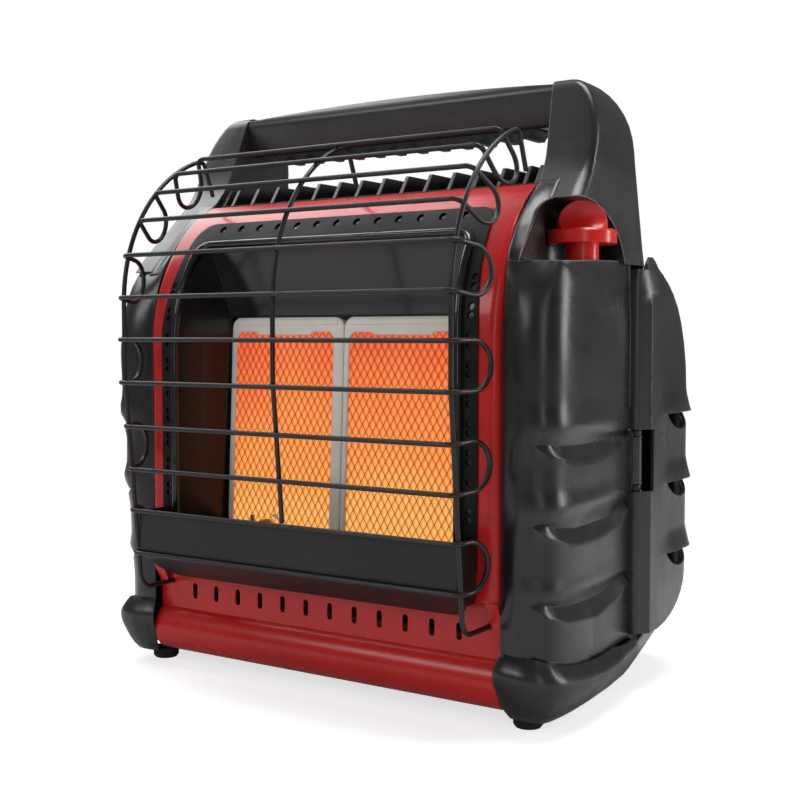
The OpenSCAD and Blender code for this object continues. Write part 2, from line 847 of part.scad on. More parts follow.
// Upright from the hook at the panel's top, over the guard and down to height z
module upright(z) {
    top = at([guard_y, guard_z], up_r, up_top);
    hook_c = [top[1] + hook_r * cos(up_top), top[2] - hook_r * sin(up_top)];
    run(at(hook_c, hook_r, hook_a), -hook_a, hook_len);
    wire_arc(hook_c, hook_r, up_top + 0.6, hook_a);
    wire_arc([guard_y, guard_z], up_r, 0, up_top);
    run([0, guard_y - up_r, straight_z], 0, guard_z - straight_z);
    run(on_lean(z), lean_a, (straight_z - z) / cos(lean_a));
    for (p = [
        at(hook_c, hook_r, hook_a), top, [0, guard_y - up_r, guard_z],
        [0, guard_y - up_r, straight_z]
    ]) translate(p) bead();
}

// Foot of an outer upright: a bend back to its hole in the apron
module upright_foot(start) {
    c = [start[1] + foot_bend * cos(lean_a), start[2] + foot_bend * sin(lean_a)];
    wire_arc(c, foot_bend, -90, -lean_a - 0.4);
    run([0, 4, c[1] - foot_bend], 90, 4 - c[0]);
    for (p = [start, [0, c[0], c[1] - foot_bend]]) translate(p) bead();
}

module guard_uprights() {
    low = foot_z + foot_bend * (1 - sin(lean_a));
    color(black_steel) place() {
        for (s = [-1, 1]) translate([s * upright_x, 0, 0]) {
            upright(low);
            upright_foot(on_lean(low));
        }
        upright(shield_top + 2.4);
    }
}

// ---- Burners ------------------------------------------------------------------------------

tile_lean = 2.7;
frame_y = 26;
frame_z = 112;
frame_t = 6;
border = 6;

module on_burner(s) {
    translate([s * (tile_w / 2 + 0.4), frame_y, frame_z]) rotate([-tile_lean, 0, 0]) children();
}

module tile_frame(s) {
    color(bare_steel) place() on_burner(s) difference() {
        translate([-tile_w / 2, 0, 0]) cube([tile_w, frame_t, tile_h]);
        translate([-tile_w / 2 + border, -1, 9]) cube([tile_w - 2 * border, frame_t + 2, tile_h - 20]);
        translate([-tile_w / 2 + 22, -1, 9]) cube([tile_w - 62, frame_t + 2, tile_h - 16]);
        translate([-tile_w / 2 + border - 2, 1.2, 7]) cube([tile_w - 2 * border + 4, frame_t, tile_h - 12]);
    }
}

module tile(s) {
    color(glow) place() on_burner(s)
        translate([-tile_w / 2 + border - 1.7, 2.2, 7.3]) cube([tile_w - 2 * border + 3.4, 9, tile_h - 12.6]);
}

screen_w = tile_w - 2 * border + 3.4;
screen_h = tile_h - 12.6;
mesh_rise = mesh_pitch * 1.15;
mesh_wire = 0.75;

module burner_screen(s) {
    cols = ceil(screen_w / mesh_pitch) + 1;
    rows = ceil(screen_h / mesh_rise) + 1;
    color(black_steel) place() on_burner(s) translate([0, 2.1, 7.3 + screen_h / 2])
        rotate([90, 0, 0]) linear_extrude(0.7) difference() {
        square([screen_w, screen_h], center = true);
        for (i = [-cols:cols]) for (j = [-rows:rows])
            if ((i + j) % 2 == 0
                && abs(i * mesh_pitch / 2) < screen_w / 2 - mesh_pitch / 2
                && abs(j * mesh_rise / 2) < screen_h / 2 - mesh_rise / 2)
                translate([i * mesh_pitch / 2, j * mesh_rise / 2]) polygon([
                    [mesh_pitch / 2 - mesh_wire, 0], [0, mesh_rise / 2 - 1.4 * mesh_wire],
                    [-mesh_pitch / 2 + mesh_wire, 0], [0, -mesh_rise / 2 + 1.4 * mesh_wire]
                ]);
    }
}

module burner_box(s) {
    color(bare_steel) place() on_burner(s) difference() {
        translate([-tile_w / 2 + 2, 11.4, 2]) cube([tile_w - 4, 28, tile_h - 4]);
        translate([-tile_w / 2 + 3.2, 11.3, 3.2]) cube([tile_w - 6.4, 26.9, tile_h - 6.4]);
        translate([0, 26, -1]) cylinder(h = 6, r = 11);
    }
}

module right_tile_frame() tile_frame(1);
module left_tile_frame() tile_frame(-1);
module right_tile() tile(1);
module left_tile() tile(-1);
module right_burner_screen() burner_screen(1);
module left_burner_screen() burner_screen(-1);
module right_burner_box() burner_box(1);
module left_burner_box() burner_box(-1);

// ---- Gas train ----------------------------------------------------------------------------

gas_y = 52;
gas_z = 40;
riser_x = 166;

module mixer_tubes() {
    color(bare_steel) place() for (s = [-1, 1])
        translate([s * (tile_w / 2 + 0.4), gas_y, 0]) rotate_extrude() polygon([
            [13, 62], [9, 72], [9, 90], [10.8, 113.2], [9.8, 113.2], [8, 90], [8, 72], [12, 62]
        ]);
}

module gas_jets() {
    color(brass) place() for (s = [-1, 1])
        translate([s * (tile_w / 2 + 0.4), gas_y, gas_z + 5]) {
            cylinder(h = 10, r = 5, $fn = 6);
            translate([0, 0, 10]) cylinder(h = 9, r1 = 3.5, r2 = 1.5);
        }
}

module gas_manifold() {
    color(bare_steel) place() {
        bar([-62, gas_y, gas_z], [riser_x - 12, gas_y, gas_z], 10);
        translate([riser_x - 12, gas_y, gas_z + 12]) rotate([90, 0, 0]) rotate([0, 0, -90])
            rotate_extrude(angle = 90) translate([12, 0]) circle(d = 10);
        bar([riser_x, gas_y, gas_z + 12], [riser_x, gas_y, 262], 10);
    }
}

module gas_valve() {
    color(brass) place() difference() {
        union() {
            translate([knob_x - 12, 45, 262]) cube([21.5, 42, 30]);
            translate([knob_x, knob_y, 292]) cylinder(h = 6, r = 9);
            translate([knob_x, 87, 275]) rotate([-90, 0, 0]) cylinder(h = 8, r = 8, $fn = 6);
            translate([knob_x - 12, 75, 275]) rotate([0, -90, 0]) cylinder(h = 7, r = 8, $fn = 6);
        }
        translate([knob_x, knob_y, 268]) cylinder(h = 40, r = 3.56);
    }
}

module supply_pipe() {
    color(bare_steel) place() {
        bar([knob_x, 95, 275], [knob_x, 124.6, 275], 8);
        bar([knob_x - 19, 75, 275], [knob_x - 26, 75, 275], 8);
        translate([knob_x - 26, 87, 275]) rotate([0, 0, 180])
            rotate_extrude(angle = 90) translate([12, 0]) circle(d = 8);
        bar([knob_x - 38, 87, 275], [knob_x - 38, 100, 275], 8);
        translate([knob_x - 50, 100, 275]) rotate_extrude(angle = 90)
            translate([12, 0]) circle(d = 8);
        bar([knob_x - 50, 112, 275], [-knob_x + 35, 112, 275], 8);
        translate([-knob_x + 35, 112, 275]) sphere(d = 8);
        bar([-knob_x + 35, 112, 275], [-knob_x + 35, 124.6, 275], 8);
    }
}

module valve_stem() {
    color(bare_steel) place() translate([knob_x, knob_y, 276]) cylinder(h = 46, r = 3.5);
}

flange_z = 319;

module control_knob() {
    color(knob_red) place() translate([knob_x, knob_y, 0]) difference() {
        union() {
            translate([0, 0, 305]) cylinder(h = 15, r = 11.5);
            translate([0, 0, flange_z]) cylinder(h = 8, r = knob_r);
            translate([0, 0, flange_z + 8]) cylinder(h = 1.5, r1 = knob_r, r2 = knob_r - 1.5);
            difference() {
                translate([0, 0, 332]) intersection() {
                    sphere(r = 17.2, $fn = 96);
                    translate([-30, -30, -5]) cube(60);
                }
                rotate([0, 0, grip_turn]) for (s = [-1, 1])
                    translate([-30, s * 24, 343]) rotate([0, 90, 0])
                        cylinder(h = 60, r = 19);
            }
        }
        translate([0, 0, 300]) cylinder(h = 22.3, r = 3.56);
    }
}

grip_turn = 25;

module igniter() {
    color([0.85, 0.83, 0.78]) place() translate([165, 108, 240]) {
        cylinder(h = 30, r = 7);
        translate([0, 0, 30]) cylinder(h = 8, r = 3);
    }
}

pilot_x = -54;

module pilot_bracket() {
    color(bare_steel) place() difference() {
        translate([pilot_x - 20, -4, 106.1]) cube([40, 22, 1.4]);
        translate([pilot_x, 8, 100]) cylinder(h = 12, r = 4);
    }
}

module pilot_burner() {
    color(brass) place() translate([pilot_x, 8, 107.5]) difference() {
        cylinder(h = 12, r = 5);
        translate([0, 0, 3]) cylinder(h = 20, r = 3.6);
        for (a = [0:60:300]) rotate([0, 0, a]) translate([0, 0, 8]) rotate([0, 90, 0])
            cylinder(h = 10, r = 0.9);
    }
}

module spark_electrode() {
    color([0.9, 0.88, 0.84]) place() translate([pilot_x + 14, 8, 107.5]) {
        cylinder(h = 9, r = 3);
        translate([0, 0, 9]) cylinder(h = 5, r = 1);
        bar([0, 0, 13.4], [-7, 0, 16.5], 2);
    }
}

module thermocouple() {
    color(bare_steel) place() translate([pilot_x - 13, 8, 107.5]) {
        cylinder(h = 10, r = 2.4);
        translate([0, 0, 10]) cylinder(h = 5, r = 1.6);
    }
}

module tip_switch() {
    color(charcoal) place() translate([-80, 140, 11.8]) {
        cube([24, 30, 16]);
        translate([12, 15, 16]) cylinder(h = 6, r = 7);
    }
}

// ---- Fan ----------------------------------------------------------------------------------

fan_z = 170;

module facing_rear(y0) translate([0, y0, fan_z]) rotate([-90, 0, 0]) children();

module fan_shroud() {
    color(charcoal) place() facing_rear(190) difference() {
        union() {
            difference() {
                cylinder(h = 45.8, r = 60);
                translate([0, 0, -1]) cylinder(h = 50, r = 56);
            }
            for (a = [30, 150, 270]) rotate([0, 0, a]) translate([10, -4, 0]) cube([48, 8, 3]);
            cylinder(h = 3, r = 17);
        }
        translate([0, 0, -1]) cylinder(h = 6, r = 6);
    }
}

module fan_motor() {
    color(bare_steel) place() facing_rear(165) {
        cylinder(h = 25, r = 15);
        translate([0, 0, 24]) cylinder(h = 26, r = 1.5);
    }
}

module fan_rotor() {
    color(charcoal) place() facing_rear(200) difference() {
        union() {
            cylinder(h = 14, r = 13);
            for (i = [0:blade_count - 1]) rotate([0, 0, i * 360 / blade_count])
                intersection() {
                    translate([10, 0, 7]) rotate([28, 0, 0]) translate([0, -17, -0.8])
                        cube([fan_r, 34, 1.6]);
                    cylinder(h = 14, r = fan_r);
                }
        }
        translate([0, 0, -1]) cylinder(h = 20, r = 1.55);
    }
}

module fan_guard() {
    color(black_steel) place() facing_rear(rear_y + 0.1) {
        for (r = [16, 28, 40, 52]) difference() {
            cylinder(h = 2.4, r = r + 1.3);
            translate([0, 0, -1]) cylinder(h = 5, r = r - 1.3);
        }
        difference() {
            cylinder(h = guard_rim, r = 62);
            translate([0, 0, -1]) cylinder(h = 8, r = 58);
        }
        for (a = [0:45:315]) rotate([0, 0, a]) translate([10, -1.3, 0]) cube([49, 2.6, 2.4]);
        cylinder(h = 2.4, r = 12);
    }
}

// ---- Battery compartment --------------------------------------------------------------------

module battery_box() {
    color(charcoal) place() difference() {
        translate([-70, 196, 21]) cube([140, 39.8, 78]);
        translate([-68, 198, 23]) cube([136, 60, 74]);
    }
}

module battery_door() {
    color(charcoal) place() difference() {
        union() {
            translate([-66, 236.2, 25.2]) cube([132, 1.8, 70.8]);
            translate([-57, 237, 22.8]) cube([114, 3, 4]);
            translate([0, 240.3, 22.6]) rotate([0, 90, 0]) cylinder(h = 114, r = 2.2, center = true);
            translate([-12, 237.9, 88]) cube([24, 2, 5]);
        }
        translate([-80, 240.3, 22.6]) rotate([0, 90, 0]) cylinder(h = 160, r = 1.06);
    }
}

// ---- Regulator doors ------------------------------------------------------------------------

pivot = [186.5, 134.4];
pivot_r = 5.5;
door_in = 150;
door_foot = 41;
door_dome = 215;
door_cap = 100.5;
door_wall = 2.6;
door_turn = 35;
door_top = 304.4;
door_inner = [door_foot - 2, 44, 49, 56, 65, 76, door_dome, 235, 250, 264, 276, 286, 294, door_top - door_wall];

function door_rear(z, t) =
    z < 76 ? 178 + 60 * dome(76 - max(z, door_foot), 35.4) :
    150 + (rear_y - 150) * dome(z - door_dome, door_cap - t);
function door_side(z, t) = 187 + (door_x - 187) * dome(z - 270, 46 - t);
function door_set(z, t) = 18 * (1 - dome(z - 290, 26 - t));

// Hood over each louvre: grows outwards down to its lip, fading out along the door's side
louvre_z = [199.6, 148.4, 95.4];
hood_h = 17;
hood_out = 3.8;
lip_t = 0.8;
door_low = [door_foot, 43, 47, 53, 60, 68, 76];
door_high = [235, 252, 266, 278, 288, 296, door_top];
door_hoods = [for (l = [louvre_z[2], louvre_z[1], louvre_z[0]]) for (d = [-lip_t, 0, 4, 8.5, 13, 17]) l + d];
door_steps = concat(door_low, door_hoods, door_high);
function hood_at(z) = max([for (l = louvre_z)
    z >= l && z < l + hood_h ? hood_out * pow((l + hood_h - z) / hood_h, 1.3) : 0]);
function ease(v) = let(u = min(1, max(0, v))) u * u * (3 - 2 * u);

function door_ring(z, t, xi) =
    let(
        s = door_set(z, t), x = door_side(z, t), y = door_rear(z, t),
        r = min(door_turn, (y - 140 - s) * 0.8), h = t > 0 ? 0 : hood_at(z),
        flank = pivot[1] + 5 + s
    )
    lift(concat(
        [[xi, pivot[1] - pivot_r + s + t]],
        arc(pivot[0] + min(0, x - 193), pivot[1] + s, pivot_r - t, pivot_r - t, -90, -36, 4),
        [for (i = [0:4]) let(v = flank + (y - r - flank) * i / 5) [x - t + h * ease((v - 163) / 14), v]],
        [for (i = [0:9]) let(a = i * 10, q = r - t + h * ease((78 - a) / 26))
            [x - r + q * cos(a), y - r + q * sin(a)]],
        [[xi, y - t]]
    ), z);

// Crest beside the tower, clear of it while the door swings
crest_x = 188.6;
crest_steps = [301, door_top, 307, 309.5, 312, 314];
function crest_ring(z) =
    let(
        s = door_set(z, 0) + 3.6, x = door_side(z, 0), y = door_rear(z, 0),
        r = min(door_turn, (y - 140 - door_set(z, 0)) * 0.8)
    )
    lift(concat(
        [[crest_x, pivot[1] + s], [x - 1, pivot[1] + s]],
        arc(x - r, y - r, r, r, 0, acos((crest_x - x + r) / r), 5)
    ), z);

louvre_y = 200;
louvre_w = 58;
louvre_d = 12.4;
lens_r = (pow(louvre_w / 2, 2) + pow(louvre_d, 2)) / (2 * louvre_d);
lens_a = asin(louvre_w / 2 / lens_r);

// Openings under the hoods, each a straight top over a curved bottom
module louvre_cuts() {
    for (z = louvre_z) translate([196, louvre_y, z - lip_t]) along_x(44)
        polygon(arc(0, lens_r - louvre_d, lens_r, lens_r, -90 - lens_a, -90 + lens_a, 12));
}

module door() {
    difference() {
        union() {
            difference() {
                loft([for (z = door_steps) door_ring(z, 0, door_in)]);
                loft([for (z = door_inner) door_ring(z, door_wall, door_in - 4)]);
            }
            loft([for (z = crest_steps) crest_ring(z)]);
            // Lugs above and below the hinge bracket
            for (z = [137, 189.6]) translate([pivot[0], pivot[1], z]) cylinder(h = 7.4, r = 4.8);
        }
        translate([pivot[0] - 9, 120, 144.5]) cube([30, 24.5, 45]);
        translate([pivot[0], pivot[1], 120]) cylinder(h = 100, r = 2.06);
        louvre_cuts();
    }
}

module hinge_bracket() {
    difference() {
        union() {
            translate([pivot[0], pivot[1], 150]) cylinder(h = 34, r = 4.6);
            translate([pivot[0] - 8, column_rear + 0.2, 150]) cube([9, 5, 34]);
        }
        translate([pivot[0], pivot[1], 140]) cylinder(h = 60, r = 2);
    }
}

module hinge_pins() {
    color(bare_steel) place() {
        for (s = [-1, 1]) translate([s * pivot[0], pivot[1], 137]) cylinder(h = 60, r = 2);
        translate([-64, 240.3, 22.6]) rotate([0, 90, 0]) cylinder(h = 128, r = 1);
    }
}

bottle_x = 143.5;
bottle_y = 184.5;

module regulator() {
    translate([bottle_x, bottle_y, 0]) {
        translate([0, 0, inlet_z + 18]) cylinder(h = 11, r = 22);
        translate([0, 0, inlet_z + 29]) cylinder(h = 8, r = 15);
    }
    translate([bottle_x + 8, pivot[1] - pivot_r + door_wall, inlet_z + 20]) cube([14, 42, 6]);
}

module inlet() {
    translate([bottle_x, bottle_y, inlet_z]) difference() {
        cylinder(h = 18, r = 17.5, $fn = 6);
        translate([0, 0, -1]) cylinder(h = 15, r = inlet_r);
        translate([0, 0, 13]) cylinder(h = 10, r = 4);
    }
}

module right_door() color(charcoal) place() door();
module left_door() color(charcoal) place() mirrored() door();
module right_regulator() color(bare_steel) place() regulator();
module left_regulator() color(bare_steel) place() mirrored() regulator();
module right_inlet() color(brass) place() inlet();
module left_inlet() color(brass) place() mirrored() inlet();
module right_hinge_bracket() color(charcoal) place() hinge_bracket();
module left_hinge_bracket() color(charcoal) place() mirrored() hinge_bracket();

// ---- Fan switch in the left pocket ------------------------------------------------------------

module fan_switch_body() {
    color(charcoal) place() at_switch() difference() {
        union() {
            translate([-12, -12, -14.4]) cube([24, 24, 11.6]);
            translate([0, 0, -3]) cylinder(h = 3.4, r = 6);
        }
        translate([0, 0, -10]) cylinder(h = 30, r = 3.06);
    }
}

module fan_switch_knob() {
    color(charcoal) place() at_switch() {
        translate([0, 0, -9.5]) cylinder(h = 12, r = 3);
        translate([0, 0, 0.8]) cylinder(h = 9.2, r1 = 15, r2 = 13.5);
        translate([-13, -2.5, 10]) cube([26, 5, 4.5]);
    }
}

module rear_screws() {
    color(bare_steel) place() for (s = [-1, 1]) for (z = [108, 232, 290])
        translate([s * 80, z < rear_z ? rear_y : rear_cy + sqrt(pow(rear_r, 2) - pow(z - rear_z, 2)), z])
            rotate([-90 + (z < rear_z ? 0 : asin((z - rear_z) / rear_r)), 0, 0]) {
                translate([0, 0, 0.05]) cylinder(h = 1.6, r = 3.2);
            }
}

right_side_panel();
left_side_panel();
right_tower();
left_tower();
handle();
handle_grip();
front_panel();
window_bezel();
reflector();
lower_shield();
bottom_pan();
rear_panel();
top_grille();
rubber_feet();
heat_shield();
right_bay_liner();
left_bay_liner();
guard_rungs();
guard_uprights();
right_burner_box();
left_burner_box();
right_tile();
left_tile();
right_tile_frame();
left_tile_frame();
right_burner_screen();
left_burner_screen();
mixer_tubes();
gas_jets();
gas_manifold();
supply_pipe();
gas_valve();
valve_stem();
control_knob();
igniter();
pilot_bracket();
pilot_burner();
spark_electrode();
thermocouple();
tip_switch();
fan_shroud();
fan_motor();
fan_rotor();
fan_guard();
battery_box();
battery_door();
right_door();
left_door();
right_regulator();
left_regulator();
right_inlet();
left_inlet();
right_hinge_bracket();
left_hinge_bracket();
hinge_pins();
fan_switch_body();
fan_switch_knob();
rear_screws();
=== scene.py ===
"""Portable propane heater: dresses the solids, adds fine pieces, the studio and the camera."""
import math

import bmesh
import bpy
from mathutils import Matrix, Vector


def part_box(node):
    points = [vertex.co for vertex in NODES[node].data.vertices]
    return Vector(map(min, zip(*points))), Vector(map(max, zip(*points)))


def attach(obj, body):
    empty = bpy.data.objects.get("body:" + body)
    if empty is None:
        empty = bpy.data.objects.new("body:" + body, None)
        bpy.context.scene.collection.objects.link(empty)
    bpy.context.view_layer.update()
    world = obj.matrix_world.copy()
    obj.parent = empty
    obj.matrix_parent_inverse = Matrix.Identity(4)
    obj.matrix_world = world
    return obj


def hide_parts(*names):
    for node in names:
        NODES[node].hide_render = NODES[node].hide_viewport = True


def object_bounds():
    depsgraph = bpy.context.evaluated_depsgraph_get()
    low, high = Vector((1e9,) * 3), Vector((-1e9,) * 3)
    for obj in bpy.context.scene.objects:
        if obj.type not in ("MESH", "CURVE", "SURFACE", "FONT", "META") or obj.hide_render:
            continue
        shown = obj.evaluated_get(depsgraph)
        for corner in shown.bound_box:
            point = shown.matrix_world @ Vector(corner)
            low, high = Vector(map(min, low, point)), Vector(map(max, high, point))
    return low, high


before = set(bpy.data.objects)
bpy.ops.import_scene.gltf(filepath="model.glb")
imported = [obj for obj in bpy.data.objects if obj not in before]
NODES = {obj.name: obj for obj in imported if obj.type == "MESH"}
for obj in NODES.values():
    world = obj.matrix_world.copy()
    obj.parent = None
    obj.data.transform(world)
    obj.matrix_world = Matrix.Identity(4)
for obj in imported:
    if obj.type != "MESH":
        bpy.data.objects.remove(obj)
CAD_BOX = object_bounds()
SCENE = bpy.context.scene
BODY = "housing"

# ---------------------------------------------------------------- node helpers


def new_material(name):
    m = bpy.data.materials.new(name)
    m.use_nodes = True
    tree = m.node_tree
    tree.nodes.clear()
    return m, tree


def add(tree, kind, **inputs):
    """A shader node; keyword names are its inputs, or its own attributes after an underscore."""
    n = tree.nodes.new(kind)
    for key, value in inputs.items():
        if key.startswith("_"):
            setattr(n, key[1:], value)
            continue
        n.inputs[key.replace("_", " ")].default_value = value
    return n


def link(tree, a, a_out, b, b_in):
    tree.links.new(a.outputs[a_out], b.inputs[b_in])


def object_axes(tree):
    """Object coordinates as separate X, Y and Z."""
    tex = tree.nodes.new("ShaderNodeTexCoord")
    sep = tree.nodes.new("ShaderNodeSeparateXYZ")
    link(tree, tex, "Object", sep, "Vector")
    return sep


def noise(tree, scale, detail=3.0, rough=0.55):
    """Noise over object coordinates, so that a pattern keeps its real size."""
    tex = tree.nodes.new("ShaderNodeTexCoord")
    n = add(tree, "ShaderNodeTexNoise", Scale=scale, Detail=detail, Roughness=rough)
    link(tree, tex, "Object", n, "Vector")
    return n


def fill_ramp(r, stops):
    """Sets the stops of a colour ramp; a colour of one number is a grey."""
    while len(r.color_ramp.elements) < len(stops):
        r.color_ramp.elements.new(0.5)
    for e, (pos, col) in zip(r.color_ramp.elements, stops):
        e.position = pos
        e.color = (*col, 1) if len(col) == 3 else (col[0],) * 3 + (1,)


def ramp(tree, source, out, stops):
    """A colour ramp over a node's output."""
    r = tree.nodes.new("ShaderNodeValToRGB")
    fill_ramp(r, stops)
    link(tree, source, out, r, "Fac")
    return r


def math_node(tree, op, a, b=None, c=None):
    """A math node over sockets or numbers; gives its output socket."""
    n = add(tree, "ShaderNodeMath", _operation=op)
    for k, v in enumerate((a, b, c)):
        if v is None:
            continue
        if isinstance(v, (int, float)):
            n.inputs[k].default_value = v
        else:
            tree.links.new(v, n.inputs[k])
    return n.outputs[0]


def principled(tree, **sockets):
    p = tree.nodes.new("ShaderNodeBsdfPrincipled")
    out = tree.nodes.new("ShaderNodeOutputMaterial")
    link(tree, p, "BSDF", out, "Surface")
    for key, value in sockets.items():
        p.inputs[key.replace("_", " ")].default_value = value
    return p


BEVEL_SAMPLES = 4
PATCH = 14.0  # scale of the slow drift of colour


def grained(name, dark, light, rough, grain, depth, edge=0.0006, painted_edge_highlight=0.0, **sockets):
    """A moulded, painted or cast finish.

    Its colour drifts between dark and light, its roughness varies within rough, a fine grain of
    the given scale and depth lifts it, edges are rounded by edge, and painted_edge_highlight
    lightens them as a painted highlight.
    """
    m, t = new_material(name)
    p = principled(t, **sockets)
    drift = noise(t, PATCH, 4.0)
    colour = ramp(t, drift, "Fac", [(0.3, dark), (0.72, light)])
    # Painted highlight: a Pointiness mask lightens the sharp edges, standing in for the light they
    # catch
    if painted_edge_highlight:
        geo = t.nodes.new("ShaderNodeNewGeometry")
        edge_mask = ramp(t, geo, "Pointiness", [(0.505, (0,)), (0.56, (1,))])
        mix = add(t, "ShaderNodeMix", _data_type="RGBA")
        t.links.new(math_node(t, "MULTIPLY", edge_mask.outputs["Color"], painted_edge_highlight),
                    mix.inputs["Factor"])
        t.links.new(colour.outputs["Color"], mix.inputs[6])
        mix.inputs[7].default_value = (*[min(1, c * 4 + 0.05) for c in light], 1)
        t.links.new(mix.outputs[2], p.inputs["Base Color"])
    else:
        link(t, colour, "Color", p, "Base Color")
    vary = noise(t, PATCH * 3, 3.0)
    span = ramp(t, vary, "Fac", [(0.3, (rough[0],)), (0.7, (rough[1],))])
    link(t, span, "Color", p, "Roughness")
    fine = noise(t, grain, 2.0, 0.6)
    lift = add(t, "ShaderNodeBump", Distance=depth, Strength=1.0)
    link(t, fine, "Fac", lift, "Height")
    if edge:
        link(t, add(t, "ShaderNodeBevel", _samples=BEVEL_SAMPLES, Radius=edge), "Normal",
             lift, "Normal")
    link(t, lift, "Normal", p, "Normal")
    return m


# ---------------------------------------------------------------- materials

# Its sharp edges are lightened by a painted highlight
PLASTIC = grained("moulded_charcoal_plastic", (0.0078, 0.0072, 0.0078), (0.011, 0.0102, 0.0112),
                  (0.25, 0.34), 1500, 0.00005, edge=0.0012, painted_edge_highlight=0.3, Specular_IOR_Level=0.55)
GRIP = grained("soft_grip_rubber", (0.009, 0.0085, 0.0085), (0.014, 0.013, 0.013),
               (0.5, 0.62), 1100, 0.00008, edge=0.0008, Specular_IOR_Level=0.35)
RED = grained("red_gloss_enamel", (0.50, 0.014, 0.014), (0.57, 0.018, 0.018),
              (0.22, 0.3), 190, 0.00002, edge=0.0008, Specular_IOR_Level=0.28,
              Coat_Weight=0.15, Coat_Roughness=0.15)
RED_PLASTIC = grained("red_gloss_plastic", (0.74, 0.018, 0.014), (0.82, 0.022, 0.018),
                      (0.24, 0.34), 700, 0.00003, edge=0.0009, Specular_IOR_Level=0.4,
                      Coat_Weight=0.2, Coat_Roughness=0.15)
ENAMEL = grained("black_enamel", (0.006, 0.0055, 0.005), (0.0095, 0.0085, 0.008),
                 (0.16, 0.24), 260, 0.00002, Coat_Weight=0.35, Coat_Roughness=0.1)
SATIN = grained("black_satin_paint", (0.0085, 0.008, 0.0075), (0.013, 0.0122, 0.0115),
                (0.34, 0.46), 900, 0.00004, Specular_IOR_Level=0.4)
BEZEL = grained("black_matt_enamel", (0.0065, 0.006, 0.0055), (0.0095, 0.0088, 0.008),
                (0.5, 0.6), 900, 0.00004, Specular_IOR_Level=0.18)
WIRE = grained("black_wire_paint", (0.0095, 0.0088, 0.0088), (0.017, 0.0155, 0.0155),
               (0.3, 0.42), 1200, 0.00004, edge=0.0, Specular_IOR_Level=0.45)
RUBBER = grained("foot_rubber", (0.012, 0.012, 0.012), (0.02, 0.02, 0.02),
                 (0.75, 0.9), 900, 0.0001)
STEEL = grained("plated_steel", (0.42, 0.42, 0.41), (0.55, 0.55, 0.54),
                (0.32, 0.45), 600, 0.00003, edge=0.0004, Metallic=1.0)
# Steel darkened to near black: painted shade for the dark recess the hinge pins sit in
HINGE_PIN_SHADE_STEEL = grained("hinge_pin_steel_painted_shade", (0.03, 0.03, 0.03), (0.06, 0.058, 0.056),
                     (0.4, 0.5), 600, 0.00003, edge=0.0004, Metallic=0.6)
BRASS = grained("machined_brass", (0.55, 0.38, 0.14), (0.68, 0.5, 0.22),
                (0.25, 0.35), 600, 0.00003, edge=0.0004, Metallic=1.0)
FRAME_STEEL = grained("aluminised_frame", (0.84, 0.77, 0.69), (0.95, 0.89, 0.81),
                      (0.42, 0.55), 500, 0.00005)
CERAMIC = grained("white_ceramic", (0.72, 0.7, 0.66), (0.8, 0.78, 0.74),
                  (0.3, 0.4), 800, 0.00003, edge=0.0005)
MESH_WIRE = grained("hot_screen_wire", (0.06, 0.014, 0.006), (0.1, 0.024, 0.009),
                    (0.5, 0.6), 900, 0.00003, edge=0.0,
                    Emission_Color=(0.30, 0.045, 0.012, 1), Emission_Strength=1.0)
# Light grey of the fine edge beads: a painted highlight for the light caught along the pocket rim
# and the ledge
RIM_HIGHLIGHT_GREY = grained("painted_rim_highlight", (0.13, 0.125, 0.13), (0.22, 0.215, 0.22),
                    (0.3, 0.42), 900, 0.00003, edge=0.0)

# Width and height of one diamond of the burner screens, in metres
DIAMOND = (0.00605, 0.01045)
# Lean of the burners, and the middle of one burner's face in x and z
TILE_LEAN = math.radians(2.7)
TILE_MID = (0.0539, 0.119 + 0.0732)


